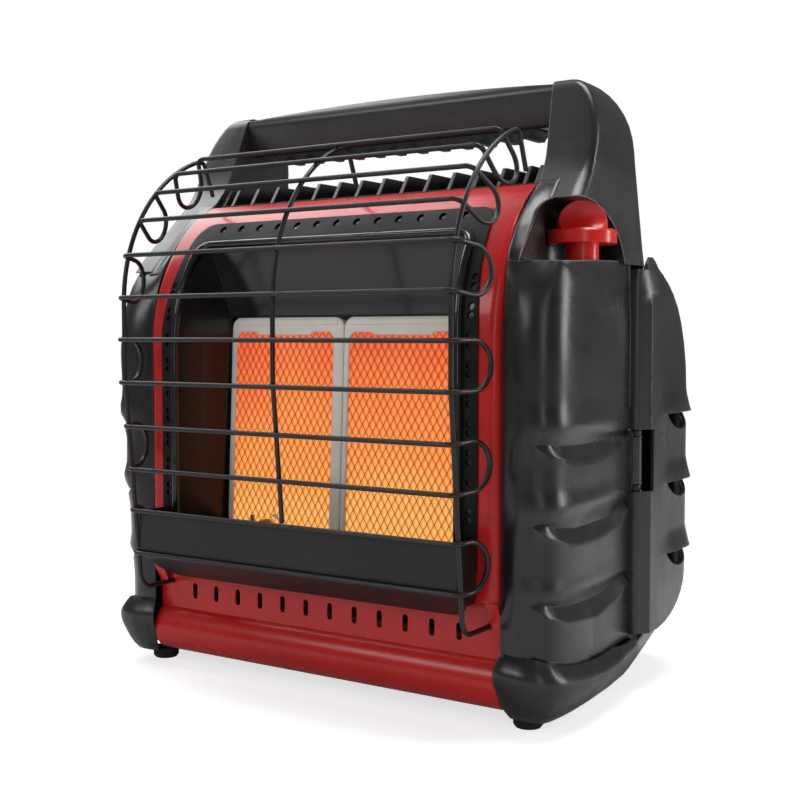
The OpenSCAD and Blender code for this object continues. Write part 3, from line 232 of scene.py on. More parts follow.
def glowing_tile():
    """Ceramic that glows orange, hotter low down, swelling in each diamond of the screen."""
    m, t = new_material("glowing_ceramic")
    p = principled(t, Roughness=0.8, Emission_Strength=1.0)
    p.inputs["Base Color"].default_value = (0.30, 0.08, 0.03, 1)
    sep = object_axes(t)
    across = math_node(t, "SUBTRACT", math_node(t, "ABSOLUTE", sep.outputs["X"]), TILE_MID[0])
    up = math_node(t, "SUBTRACT", sep.outputs["Z"], TILE_MID[1])

    def ripple(way, pitch):
        return math_node(t, "COSINE", math_node(t, "MULTIPLY", way, 2 * math.pi / pitch))

    # 1 in the middle of each diamond, 0 where the strands cross
    wave = math_node(t, "MULTIPLY", ripple(across, DIAMOND[0]), ripple(up, DIAMOND[1]))
    swell = math_node(t, "MULTIPLY_ADD", wave, -0.5, 0.5)
    foot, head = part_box("right_tile")
    height = add(t, "ShaderNodeMapRange", From_Min=foot.z, From_Max=head.z)
    link(t, sep, "Z", height, "Value")
    drift = noise(t, 13.0, 2.0, 0.45)
    cold = math_node(t, "MULTIPLY_ADD", drift.outputs["Fac"], 0.75, height.outputs["Result"])
    cold = math_node(t, "MULTIPLY_ADD", math_node(t, "ABSOLUTE", across), 4.0, cold)
    cold = math_node(t, "MULTIPLY_ADD", swell, -0.22, cold)
    heat = t.nodes.new("ShaderNodeValToRGB")
    fill_ramp(heat, [(0.28, (1.0, 0.50, 0.12)), (0.52, (1.0, 0.34, 0.075)),
                     (0.78, (0.94, 0.20, 0.052)), (1.0, (0.80, 0.10, 0.038))])
    t.links.new(math_node(t, "MULTIPLY", cold, 0.72), heat.inputs["Fac"])
    fine = noise(t, 900.0, 2.0, 0.6)
    level = math_node(t, "MULTIPLY_ADD", swell, 0.34, 0.60)
    level = math_node(t, "MULTIPLY_ADD", fine.outputs["Fac"], 0.12, level)
    scale = add(t, "ShaderNodeVectorMath", _operation="SCALE")
    t.links.new(heat.outputs["Color"], scale.inputs[0])
    t.links.new(level, scale.inputs["Scale"])
    t.links.new(scale.outputs[0], p.inputs["Emission Color"])
    lift = add(t, "ShaderNodeBump", Distance=0.0006)
    t.links.new(swell, lift.inputs["Height"])
    link(t, lift, "Normal", p, "Normal")
    return m


GLOW = glowing_tile()


def both_sides(names):
    """The names of the right and the left part for each of some words."""
    return " ".join(f"right_{n} left_{n}" for n in names.split())


FINISH = {name: material for material, names in (
    (PLASTIC, both_sides("side_panel tower door hinge_bracket") + " handle rear_panel battery_box "
     "battery_door fan_shroud fan_rotor fan_switch_body tip_switch top_grille"),
    (GRIP, "handle_grip"),
    (RED, "front_panel"),
    (RED_PLASTIC, "fan_switch_knob control_knob"),
    (ENAMEL, "reflector"),
    (BEZEL, "window_bezel"),
    (SATIN, both_sides("bay_liner") + " lower_shield bottom_pan"),
    (WIRE, "fan_guard guard_rungs guard_uprights"),
    (MESH_WIRE, both_sides("burner_screen")),
    (RUBBER, "rubber_feet"),
    (STEEL, both_sides("burner_box regulator") + " heat_shield mixer_tubes gas_manifold "
     "supply_pipe valve_stem pilot_bracket thermocouple fan_motor rear_screws"),
    (FRAME_STEEL, both_sides("tile_frame")),
    (HINGE_PIN_SHADE_STEEL, "hinge_pins"),
    (GLOW, both_sides("tile")),
    (CERAMIC, "igniter spark_electrode"),
    (BRASS, both_sides("inlet") + " gas_jets gas_valve pilot_burner"),
) for name in names.split()}

SMOOTH_UP_TO = math.radians(32)
WELD_DISTANCE = 0.000004


def smoothing_group():
    """Geometry nodes: joins the loose facets of a mesh and shades its gentle edges smooth."""
    g = bpy.data.node_groups.new("smooth_by_angle", "GeometryNodeTree")
    for way in ("INPUT", "OUTPUT"):
        g.interface.new_socket("Geometry", in_out=way, socket_type="NodeSocketGeometry")
    n = g.nodes
    start, end = n.new("NodeGroupInput"), n.new("NodeGroupOutput")
    weld = n.new("GeometryNodeMergeByDistance")
    weld.inputs["Distance"].default_value = WELD_DISTANCE
    angle = n.new("GeometryNodeInputMeshEdgeAngle")
    gentle = n.new("FunctionNodeCompare")
    gentle.data_type = "FLOAT"
    gentle.operation = "LESS_EQUAL"
    gentle.inputs[1].default_value = SMOOTH_UP_TO
    faces = n.new("GeometryNodeSetShadeSmooth")
    faces.domain = "FACE"
    edges = n.new("GeometryNodeSetShadeSmooth")
    edges.domain = "EDGE"
    g.links.new(start.outputs[0], weld.inputs["Geometry"])
    g.links.new(weld.outputs["Geometry"], faces.inputs["Geometry"])
    g.links.new(faces.outputs["Geometry"], edges.inputs["Geometry"])
    g.links.new(angle.outputs["Unsigned Angle"], gentle.inputs[0])
    g.links.new(gentle.outputs[0], edges.inputs["Shade Smooth"])
    g.links.new(edges.outputs["Geometry"], end.inputs[0])
    return g


SMOOTH = smoothing_group()


def smooth_by_angle(obj):
    obj.modifiers.new("smooth", "NODES").node_group = SMOOTH


for node_name, node_object in NODES.items():
    node_object.data.materials.clear()
    node_object.data.materials.append(FINISH[node_name])
    smooth_by_angle(node_object)


def paint_shade_behind_bezel():
    """The red panel is painted near-black where the bezel covers it, as painted shade, so that the
    bezel's holes look dark.
    """
    t = RED.node_tree
    p = next(n for n in t.nodes if n.type == "BSDF_PRINCIPLED")
    source = p.inputs["Base Color"].links[0].from_socket
    sep = object_axes(t)
    x, z = sep.outputs["X"], sep.outputs["Z"]
    # The strip it covers, in metres; it narrows by lean_x from lean_z up, as the bezel's sides do
    half_width, foot, head, lean_x, lean_z = 0.1375, 0.1055, 0.3425, 0.008, (0.262, 0.344)
    lean = add(t, "ShaderNodeMapRange", From_Min=lean_z[0], From_Max=lean_z[1], To_Max=lean_x)
    t.links.new(z, lean.inputs["Value"])
    wide = math_node(t, "ADD", math_node(t, "ABSOLUTE", x), lean.outputs["Result"])
    mask = math_node(t, "LESS_THAN", wide, half_width)
    for test in (math_node(t, "GREATER_THAN", z, foot), math_node(t, "LESS_THAN", z, head)):
        mask = math_node(t, "MULTIPLY", mask, test)
    mix = add(t, "ShaderNodeMix", _data_type="RGBA")
    t.links.new(mask, mix.inputs["Factor"])
    t.links.new(source, mix.inputs[6])
    # Painted shade: the near-black seen through the bezel's holes
    mix.inputs[7].default_value = (0.006, 0.0055, 0.005, 1)
    t.links.new(mix.outputs[2], p.inputs["Base Color"])


paint_shade_behind_bezel()

# ---------------------------------------------------------------- pieces

# Middle of the heater's depth in the frame of the solids, in metres
MID_Y = 0.09415


def mm(x, y, z, side=1):
    """A point of the solids' frame, in millimetres, as a point of the scene; side -1 mirrors it."""
    return (side * x / 1000, y / 1000 - MID_Y, z / 1000)


def tube_faces(n, rings, start=0):
    """Faces of a closed tube: rings of n vertices each, numbered from start on."""
    faces = []
    for i in range(rings - 1):
        for k in range(n):
            a, b = start + i * n + k, start + i * n + (k + 1) % n
            faces.append((a, b, b + n, a + n))
    last = start + (rings - 1) * n
    faces.append(tuple(reversed(range(start, start + n))))
    faces.append(tuple(range(last, last + n)))
    return faces


def shell_faces(outer, inner, last_rim=True):
    """Faces of a thick skin: two grids of vertex numbers and the rims that join their edges."""
    lines = list(zip(outer, outer[1:])) + list(zip(inner, inner[1:]))
    lines.append((outer[0], inner[0]))
    if last_rim:
        lines.append((outer[-1], inner[-1]))
    for k in (0, -1):
        lines.append(([row[k] for row in outer], [row[k] for row in inner]))
    return [(a[k], a[k + 1], b[k + 1], b[k]) for a, b in lines for k in range(len(a) - 1)]


def piece(name, verts, faces, material, body, node=None, smooth=True):
    """A mesh piece from vertices in metres; it rides on a body and may stand for a CAD node."""
    me = bpy.data.meshes.new(name)
    me.from_pydata(verts, [], faces)
    me.validate()
    bm = bmesh.new()
    bm.from_mesh(me)
    bmesh.ops.recalc_face_normals(bm, faces=bm.faces)
    bm.to_mesh(me)
    bm.free()
    for poly in me.polygons:
        poly.use_smooth = smooth
    o = bpy.data.objects.new(name, me)
    SCENE.collection.objects.link(o)
    me.materials.append(material)
    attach(o, body)
    if node:
        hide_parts(node)
    return o


# ---- burners, in metres: expanded metal screens, pressed frames and glowing tiles

FRAME_W, FRAME_H = 0.1070, 0.1590
FRAME_FOOT = (TILE_MID[0], 0.026 - MID_Y, 0.112)
SCREEN_MID = 0.0805  # above the frame's foot
SCREEN_X, SCREEN_LOW, SCREEN_HIGH = 0.0515, -0.0788, 0.0732  # the opening, round its middle
STRANDS = 32  # of one family, to each side of the middle one
STRAND_HALF, STRAND_DEPTH = 0.00025, 0.0003  # half the width and half the depth of a strand
STRAND_TWIST = 0.00006  # how much wider it looks where it is twisted
SHEET_Y, FAMILY_GAP = 0.00165, 0.00012  # the sheet behind the frame's front, and its two families


def on_burner(side):
    """The leaning plane of one burner: x across, y into the heater, z up from the frame's foot."""
    foot = (side * FRAME_FOOT[0], FRAME_FOOT[1], FRAME_FOOT[2])
    return Matrix.Translation(foot) @ Matrix.Rotation(-TILE_LEAN, 4, "X")


def strand_ends(k, family, dx, dz):
    """Where the strand x / dx + family * z / dz = 2 k meets the edges of the screen's opening."""
    ends = []
    for z in (SCREEN_LOW, SCREEN_HIGH):
        x = dx * (2 * k - family * z / dz)
        if abs(x) <= SCREEN_X:
            ends.append((x, z))
    for x in (-SCREEN_X, SCREEN_X):
        z = family * dz * (2 * k - x / dx)
        if SCREEN_LOW < z < SCREEN_HIGH:
            ends.append((x, z))
    return sorted(ends, key=lambda e: e[1])


def burner_screen(side, name):
    """Expanded metal: two families of slim strands that cross at the corners of each diamond."""
    place = on_burner(side)
    dx, dz = DIAMOND[0] / 2, DIAMOND[1] / 2
    length = math.hypot(dx, dz)
    verts, faces = [], []
    for family in (1, -1):
        nx, nz = dz / length, family * dx / length
        y = SHEET_Y + FAMILY_GAP * family
        for k in range(-STRANDS, STRANDS + 1):
            ends = strand_ends(k, family, dx, dz)
            if len(ends) < 2 or math.dist(ends[0], ends[1]) < 0.001:
                continue
            (x0, z0), (x1, z1) = ends
            steps = max(2, int(math.dist(*ends) / (length / 2)))
            faces += tube_faces(4, steps + 1, len(verts))
            for i in range(steps + 1):
                f = i / steps
                x, z = x0 + (x1 - x0) * f, z0 + (z1 - z0) * f
                # Strands are twisted out of the sheet between the knuckles
                twist = math.cos(math.pi * x / dx) * math.cos(math.pi * z / dz)
                r = STRAND_HALF + STRAND_TWIST * twist
                for c, d in ((r, 0), (0, -STRAND_DEPTH), (-r, 0), (0, STRAND_DEPTH)):
                    verts.append(place @ Vector((x + nx * c, y + d, z + nz * c + SCREEN_MID)))
    return piece(name, verts, faces, MESH_WIRE, BODY, node=name.replace("_strands", ""),
                 smooth=False)


burner_screen(1, "right_burner_screen_strands")
burner_screen(-1, "left_burner_screen_strands")


def rounded(points, radii, steps):
    """A closed outline with its corners rounded to the radii given."""
    out = []
    for i, (p, r) in enumerate(zip(points, radii)):
        p = Vector(p)
        a = (Vector(points[i - 1]) - p).normalized()
        b = (Vector(points[(i + 1) % len(points)]) - p).normalized()
        half = a.angle(b) / 2
        reach = r / math.tan(half)
        centre = p + (a + b).normalized() * (r / math.sin(half))
        start, end = p + a * reach - centre, p + b * reach - centre
        for k in range(steps + 1):
            out.append(centre + start.slerp(end, k / steps).normalized() * r)
    return out


def moved_in(points, by):
    """An outline moved in by a distance."""
    out = []
    for i, p in enumerate(points):
        ways = (p - points[i - 1], points[(i + 1) % len(points)] - p)
        n1, n2 = (Vector((-d.y, d.x)).normalized() for d in ways)
        out.append(p + (n1 + n2).normalized() * by)
    return out


def tile_frame(side, name):
    """Pressed frame round one tile, with a notched inner edge and a folded tab along the top."""
    half, h, rim = FRAME_W / 2, FRAME_H, 0.0009
    outer = rounded([(-half, 0), (half, 0), (half, h), (-half, h)], [0.004, 0.004, 0.008, 0.008], 8)
    x0, x1 = -half + 0.0045, half - 0.0092
    low, top = 0.0022, h - 0.0112
    inner = rounded([(x0, low), (x1, low), (x1, top - 0.004), (x1 - 0.004, top), (x1 - 0.02, top),
                     (x1 - 0.022, top - 0.0022), (x0 + 0.022, top - 0.0022), (x0 + 0.02, top),
                     (x0 + 0.004, top), (x0, top - 0.004)], [0.001] * 10, 3)
    place = on_burner(side)
    bm = bmesh.new()

    def loop(points, y):
        return [bm.verts.new(place @ Vector((p[0], y, p[1]))) for p in points]

    def fill_between(*loops):
        edges = [bm.edges.get((ring[i], ring[(i + 1) % len(ring)]))
                 for ring in loops for i in range(len(ring))]
        bmesh.ops.triangle_fill(bm, use_beauty=True, edges=edges)

    rings = [loop(outer, 0.006), loop(outer, rim), loop(moved_in(outer, 0.0004), 0.0003),
             loop(moved_in(outer, rim * 1.4), 0.0)]
    inner_rings = [loop(moved_in(inner, -rim * 1.2), 0.0), loop(moved_in(inner, -0.0003), 0.0004),
                   loop(inner, 0.0012), loop(inner, 0.0020)]
    for group in (rings, inner_rings):
        for a, b in zip(group, group[1:]):
            for i in range(len(a)):
                j = (i + 1) % len(a)
                bm.faces.new((a[i], a[j], b[j], b[i]))
    fill_between(rings[-1], inner_rings[0])
    fill_between(rings[0], inner_rings[-1])
    # Folded tab along the top
    tab = [bm.verts.new(place @ Vector((x, y, z))) for x in (-half + 0.005, half - 0.005)
           for y in (-0.0006, 0.0004) for z in (h - 0.0058, h - 0.0018)]
    for f in ((0, 1, 3, 2), (4, 6, 7, 5), (0, 4, 5, 1), (2, 3, 7, 6), (0, 2, 6, 4), (1, 5, 7, 3)):
        bm.faces.new([tab[i] for i in f])
    bmesh.ops.recalc_face_normals(bm, faces=bm.faces)
    me = bpy.data.meshes.new(name)
    bm.to_mesh(me)
    bm.free()
    me.materials.append(FRAME_STEEL)
    o = bpy.data.objects.new(name, me)
    SCENE.collection.objects.link(o)
    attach(o, BODY)
    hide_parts(name.replace("_pressing", ""))
    return o


tile_frame(1, "right_tile_frame_pressing")
tile_frame(-1, "left_tile_frame_pressing")


def hot_tile(side, name):
    """The glowing ceramic, a cushioned slab that reaches down to the frame's foot."""
    place = on_burner(side)
    x, low, top = FRAME_W / 2 - 0.002, 0.001, FRAME_H - 0.008
    outline = rounded([(-x, low), (x, low), (x, top), (-x, top)], [0.001, 0.001, 0.004, 0.004], 4)
    mid = Vector((0, FRAME_H / 2))
    # Size and depth of each ring, from the back to the face
    cushion = ((1.0, 0.0058), (1.0, 0.0026), (0.995, 0.0023), (0.96, 0.0022))
    verts = []
    for size, y in cushion:
        for v in (mid + (q - mid) * size for q in outline):
            verts.append(place @ Vector((v.x, y, v.y)))
    return piece(name, verts, tube_faces(len(outline), len(cushion)), GLOW, BODY,
                 node=name.replace("_glow", ""), smooth=False)


hot_tile(1, "right_tile_glow")
hot_tile(-1, "left_tile_glow")

# ---- window lip: a rolled bead round the opening of the bezel; from here on in millimetres

# The bead stands upright up to SWEEP_Z and then sweeps back round the line (SWEEP_Y, SWEEP_Z)
SWEEP_Y, SWEEP_Z, SWEEP_R = 112.6, 250, 126.2
WINDOW_X, WINDOW_FOOT, WINDOW_SHOULDER = 124.6, 104.5, 314
WINDOW_LEAN, WINDOW_CORNER = 2.6, 12.5
LIP_OUT, LIP_ACROSS = 3.0, 2.7  # half axes of the bead's section


def tangent(pts, i):
    """Direction of a line of points at one of them."""
    return (pts[min(i + 1, len(pts) - 1)] - pts[max(i - 1, 0)]).normalized()


def section(centre, u, u_axis, v, v_axis, n):
    """An ellipse of n points with half axes u and v along two directions."""
    turn = [2 * math.pi * k / n for k in range(n)]
    return [mm(*(centre + u_axis * (u * math.cos(a)) + v_axis * (v * math.sin(a)))) for a in turn]


def window_path():
    """The bead's line seen from the front: up the left side, over the top and down the right."""
    path = [(-WINDOW_X, WINDOW_FOOT + k * (SWEEP_Z - WINDOW_FOOT) / 40) for k in range(40)]
    path += [(-WINDOW_X + k * WINDOW_LEAN / 30, SWEEP_Z + k * (WINDOW_SHOULDER - SWEEP_Z) / 30)
             for k in range(30)]
    flat = WINDOW_X - WINDOW_LEAN - WINDOW_CORNER
    for k in range(13):
        a = math.pi - k * math.pi / 24
        path.append((-flat + WINDOW_CORNER * math.cos(a),
                     WINDOW_SHOULDER + WINDOW_CORNER * math.sin(a)))
    path += [(-flat + (k + 1) * flat / 14, WINDOW_SHOULDER + WINDOW_CORNER) for k in range(14)]
    return path + [(-x, z) for x, z in reversed(path[:-1])]


def window_lip():
    """The bead itself, of elliptical section, facing out from the sweep all the way."""
    n = 14
    pts = []
    for x, z in window_path():
        rise = max(0, z - SWEEP_Z)
        pts.append(Vector((x, SWEEP_Y - math.sqrt(SWEEP_R ** 2 - rise ** 2), z)))
    verts = []
    for i, p in enumerate(pts):
        ahead = tangent(pts, i)
        lean = math.asin(max(0.0, p.z - SWEEP_Z) / SWEEP_R)
        out = Vector((0, -math.cos(lean), math.sin(lean)))
        out = (out - ahead * out.dot(ahead)).normalized()
        verts += section(p, LIP_OUT, out, LIP_ACROSS, ahead.cross(out), n)
    return piece("window_lip_bead", verts, tube_faces(n, len(pts)), ENAMEL, BODY)


window_lip()

# ---- hinges: collars round the pin and the bracket's leaf behind them

HINGE_X, HINGE_Y = 186.5, 134.4
COLLARS = ((144.7, 149.9), (184.1, 189.4))  # foot and head of each
COLLAR_R, COLLAR_EDGE = 4.3, 3.6


def cut_corners(x0, x1, z0, z1, cut_x, cut_z):
    """A rectangle's outline with its corners cut off."""
    return [(x0, z0 + cut_z), (x0 + cut_x, z0), (x1 - cut_x, z0), (x1, z0 + cut_z),
            (x1, z1 - cut_z), (x1 - cut_x, z1), (x0 + cut_x, z1), (x0, z1 - cut_z)]


def hinge_knuckles(side, name):
    """Collars on the pin between the hinge bracket and the door's lugs, and the bracket's leaf."""
    n = 24
    verts, faces = [], []
    for z0, z1 in COLLARS:
        rings = ((z0, COLLAR_EDGE), (z0 + 0.5, COLLAR_R), (z1 - 0.5, COLLAR_R), (z1, COLLAR_EDGE))
        faces += tube_faces(n, len(rings), len(verts))
        for z, r in rings:
            for a in (2 * math.pi * k / n for k in range(n)):
                verts.append(mm(HINGE_X + r * math.cos(a), HINGE_Y + r * math.sin(a), z, side))
    leaf = cut_corners(177.8, 186.6, 144.7, 189.3, 1.2, 1.3)
    faces += tube_faces(len(leaf), 2, len(verts))
    verts += [mm(x, y, z, side) for y in (128.15, 130.0) for x, z in leaf]
    return piece(name, verts, faces, SATIN, BODY)


hinge_knuckles(1, "right_hinge_knuckles")
hinge_knuckles(-1, "left_hinge_knuckles")

# ---- side mouldings: a finer skin of the column and skirt, with leaf-shaped gills


def clamp(v):
    return min(1.0, max(0.0, v))


def eased(f):
    return f * f * (3 - 2 * f)


def lookup(x, table, soft=0.0):
    """Value of a table at x; soft is how far its spans are eased, so that no ridge shows."""
    for (x0, y0), (x1, y1) in zip(table, table[1:]):
        if x <= x1:
            f = max(0.0, (x - x0) / (x1 - x0))
            return y0 + (y1 - y0) * (eased(f) * soft + f * (1 - soft))
    return table[-1][1]


def ease(x, table):
    return lookup(x, table, 0.55)


# Front of the mouldings as the solids have it: upright up to WALL_TOP, then a slow and a quick
# bend of the radii and end angles given, then a straight slope
WALL_Y, WALL_TOP = -7.0, 244
SLOW_R, SLOW_END = 200, math.radians(12)
QUICK_R, SLOPE = 62, math.radians(43.5)


def front_edge(z):
    """Front of the side mouldings at a height, up to the crown."""
    bend_y = WALL_Y + SLOW_R * (1 - math.cos(SLOW_END))
    bend_z = WALL_TOP + SLOW_R * math.sin(SLOW_END)
    slope_y = bend_y + QUICK_R * (math.cos(SLOW_END) - math.cos(SLOPE))
    slope_z = bend_z + QUICK_R * (math.sin(SLOPE) - math.sin(SLOW_END))
    if z <= WALL_TOP:
        return WALL_Y
    if z <= bend_z:
        return WALL_Y + SLOW_R - math.sqrt(SLOW_R ** 2 - (z - WALL_TOP) ** 2)
    if z <= slope_z:
        k = math.sin(SLOW_END) + (z - bend_z) / QUICK_R
        return bend_y + QUICK_R * (math.cos(SLOW_END) - math.sqrt(1 - k * k))
    return slope_y + (z - slope_z) * math.tan(SLOPE)


# Seam between the mouldings and the red panel; above SEAM_BEND the mouldings lean in
SEAM_X, SEAM_BEND, SEAM_LEAN = 153.4, 288, 0.095
# How far the seam's lip stands forward at each height, and the width over which that fades
LIP = [(286, 0), (292, 0.5), (300, 1.6), (307, 2.9), (318, 5.6), (330, 7.6), (340, 6.9),
       (350, 4.2), (357, 1.4), (362, 0)]
LIP_WIDTH = 16.0


def lean_in(z):
    """How far the mouldings and the seam lean in at a height."""
    return max(0, z - SEAM_BEND) * SEAM_LEAN


# Plan of the column from the seam round to its rear edge
PLAN_X, REAR_Y = 153.5, 128
PLAN = [(PLAN_X, WALL_Y), (160, -10.2), (168, -12.6), (176, -13.0), (183, -11.2), (188.5, -7.2),
        (192.3, -1), (194.6, 9), (195.6, 24), (195.4, 42), (194, 62), (191.4, 84), (188, 106),
        (184.5, REAR_Y)]
# How far the column stands in from its plan, by height
INSET = [(34, 6.8), (66, 6.8), (78, 6.2), (92, 4.2), (101, 5.2), (120, 4.8), (134, 3.4),
         (147, 1.2), (158, 2.9), (176, 3.0), (188, 1.2), (199, -0.8), (213, 0.7), (244, 0),
         (266, 0.8), (277, 1.5), (290, 2.6), (307, 4.6), (400, 4.6)]
# Widths over which that inset comes in from the seam and from the front, the share of it that
# goes back rather than aside, and where it begins to fade towards the rear edge
INSET_WIDTH, FRONT_DEPTH, INSET_BACK, FADE_Y = 30, 60, 0.85, 62
# The front's bulge flattens from FLAT_Z up, over FLAT_RISE, and loses the share FLATTEN
FLAT_Z, FLAT_RISE, FLATTEN = 262, 42, 0.75
# How far the skirt stands out from the plan: by height, for a skirt SKIRT_RISE high, then by the
# way round the column
SKIRT_FOOT, SKIRT_RISE = 8, 43
SKIRT = [(8, -12), (13, -7.7), (18.5, -4.4), (24, -1.8), (28, 0), (32, 1.4), (37.5, 2.2),
         (42, 1.2), (45, -0.8), (48, -3), (51, -5.5), (60, -5.5)]
SKIRT_SET = [(0, 4.5), (15, 1.5), (25, 0.4), (60, 0.2), (90, 1.0), (115, 2.2), (145, 4.2),
             (175.2, 6.0)]
# Height of the skirt's upper edge by the way round, and behind the column
SKIRT_TOP = [(0, 52), (27, 51), (38, 49), (47, 47), (62, 44), (83, 41), (111, 38.6), (130, 38.6),
             (150, 41), (176, 44)]
REAR_TOP, REAR_LID = 38.0, 35.3
# Behind this way round, the skirt's upper edge comes down to meet the rear skirt at REAR_S
DROP_S, REAR_S, DROP_RATE = 120, 150, 0.1
# Lower edge, crease and upper edge of each gill: height by the way round
GILLS = [
    ([(24, 84.6), (27, 84.2), (44, 76), (65, 70), (113, 65), (149, 70), (168, 77), (176, 79)],
     [(24, 85), (27, 85), (40, 84.6), (55, 82), (76, 80), (113, 78), (149, 81), (176, 85.5)],
     [(24, 85.4), (27, 86), (38, 92), (47, 94.4), (71, 95), (113, 92.5), (138, 91), (176, 89.5)]),
    ([(24, 135.6), (29, 135), (42, 128), (65, 122), (107, 120), (152, 124), (176, 132.5)],
     [(24, 136), (29, 136), (38, 136), (53, 134), (80, 131), (133, 131), (176, 136.6)],
     [(24, 136.4), (29, 137), (37, 143), (45, 146.4), (67, 149), (107, 148.5), (150, 147),
      (176, 146)]),
    ([(24, 187.6), (27, 187), (40, 181), (67, 175), (100, 174.5), (155, 179), (176, 185)],
     [(24, 188.2), (27, 188.2), (37, 188.2), (50, 187), (75, 186), (128, 186), (176, 187.5)],
     [(24, 188.8), (27, 189.5), (35, 195), (43, 199.5), (63, 201), (95, 198), (128, 193),
      (176, 191)]),
]
GILL_DEPTH = [(0, 0), (26, 0), (36, 3.0), (46, 5.4), (60, 6.0), (110, 5.2), (150, 4.2), (176, 3.2)]
# Line where the scoop under the ledge begins, its least height and its depth, and the ledge's
# height on each side
SCOOP = [(0, 303.2), (34, 303.2), (44, 301), (61, 293.8), (90, 279.9), (118, 260.4), (138, 255.6),
         (158, 259), (176, 266)]
SCOOP_LEAST = 1.2
SCOOP_DEPTH = [(0, 0), (36, 0), (60, 1.6), (90, 3.2), (140, 3.2), (176, 1.0)]
LEDGE = {1: [(0, 307.1), (5.2, 307.1), (7.6, 304.5), (36, 304.3), (64, 305.2), (108, 307.4),
             (176, 309.6)],
         -1: [(0, 307.1), (64, 307.1), (108, 307.6), (176, 309.6)]}
# Kind and facets of each span up the column, from the skirt's edge to the ledge
SPANS = [("wall", 8), ("crease", 7), ("roll", 9)] * 3 + [("wall", 16), ("scoop", 12)]
SKIN_WALL = 2.4
SKIN_COLUMNS, SKIRT_ROWS, REAR_ROWS = 118, 18, 12  # facets round the plan and up the skirts
SHELF_INSET = 1.2  # how far inside the skin's outer face the shelf ends

# The knob's stem passes through the shelf on the right
KNOB_X, KNOB_Y, STEM_HOLE_R = 173, 70, 12.2
SHELF_UNDER, SHELF_TOP = 303.0, 306.5


def smooth_path(points, per_span):
    """A curve through the points with even tangents."""
    before, after = (tuple(2 * a - b for a, b in zip(p, q))
                     for p, q in ((points[0], points[1]), (points[-1], points[-2])))
    ends = [before, *points, after]
    out = []
    for p0, p1, p2, p3 in zip(ends, ends[1:], ends[2:], ends[3:]):
        for t in (i / per_span for i in range(per_span)):
            out.append(tuple(0.5 * (2 * b + (c - a) * t + (2 * a - 5 * b + 4 * c - d) * t * t
                                    + (3 * b - a - 3 * c + d) * t ** 3)
                             for a, b, c, d in zip(p0, p1, p2, p3)))
    out.append(points[-1])
    return out


def even_steps(points, count):
    """Equal steps along a smooth curve: the way gone, the point and the outward normal."""
    dense = [Vector(p) for p in smooth_path(points, 24)]
    way = [0.0]
    for a, b in zip(dense, dense[1:]):
        way.append(way[-1] + (b - a).length)
    steps, k = [], 0
    for i in range(count + 1):
        s = way[-1] * i / count
        while k < len(way) - 2 and way[k + 1] < s:
            k += 1
        t = (dense[k + 1] - dense[k]).normalized()
        p = dense[k].lerp(dense[k + 1], (s - way[k]) / (way[k + 1] - way[k]))
        steps.append((s, p, Vector((t.y, -t.x))))
    return steps


def edge_bead(name, pts, radius):
    """A fine moulded bead along an edge, thinner at its ends, light grey as a painted highlight."""
    n = 8
    pts = [Vector(q) for q in pts]
    verts = []
    for i, q in enumerate(pts):
        ahead = tangent(pts, i)
        across = ahead.cross(Vector((0, 0, 1) if abs(ahead.z) < 0.95 else (0, 1, 0))).normalized()
        r = radius * (0.5 if i in (0, len(pts) - 1) else 1.0)
        verts += section(q, r, across, r, across.cross(ahead), n)
    return piece(name, verts, tube_faces(n, len(pts)), RIM_HIGHLIGHT_GREY, BODY)


def column_point(p, n, z, cut):
    """Point of the column's skin over the point p of its plan, cut in by a gill or the scoop."""
    inset = ease(z, INSET)
    aside = clamp((p.x - PLAN_X) / INSET_WIDTH)
    ahead = clamp((FRONT_DEPTH - p.y) / FRONT_DEPTH)
    q = Vector((0, INSET_BACK * inset * aside * ahead))
    if p.y > FADE_Y:
        aside *= (REAR_Y - p.y) / (REAR_Y - FADE_Y)
    q += Vector((p.x - inset * aside, p.y)) - n * cut
    # The front leans back with the shoulder, and the seam's lip stands a little forward of it
    near = max(0.0, 1 - (p.x - PLAN_X) / LIP_WIDTH)
    flat = clamp((z - FLAT_Z) / FLAT_RISE)
    q.y += max(0.0, WALL_Y - p.y) * flat * flat * FLATTEN
    q.y += (front_edge(z) - WALL_Y) * ahead
    q.y -= lookup(z, LIP) * eased(near)
    q.x -= lean_in(z) * near
    return q


def cut_share(kind, f):
    """How much of its full depth a cut has at the share f of its span."""
    if kind == "crease":
        return f
    if kind == "roll":
        # From the crease the surface rolls out and meets the lip softly
        return (1 - f) ** 1.7 * (1 + 0.35 * f)
    return math.sin(f * math.pi / 2) if kind == "scoop" else 0.0


def skirt_out(z, top):
    """How far the skirt stands out at a height, its profile stretched to end at top."""
    return ease(SKIRT_FOOT + (z - SKIRT_FOOT) * SKIRT_RISE / (top - SKIRT_FOOT), SKIRT)


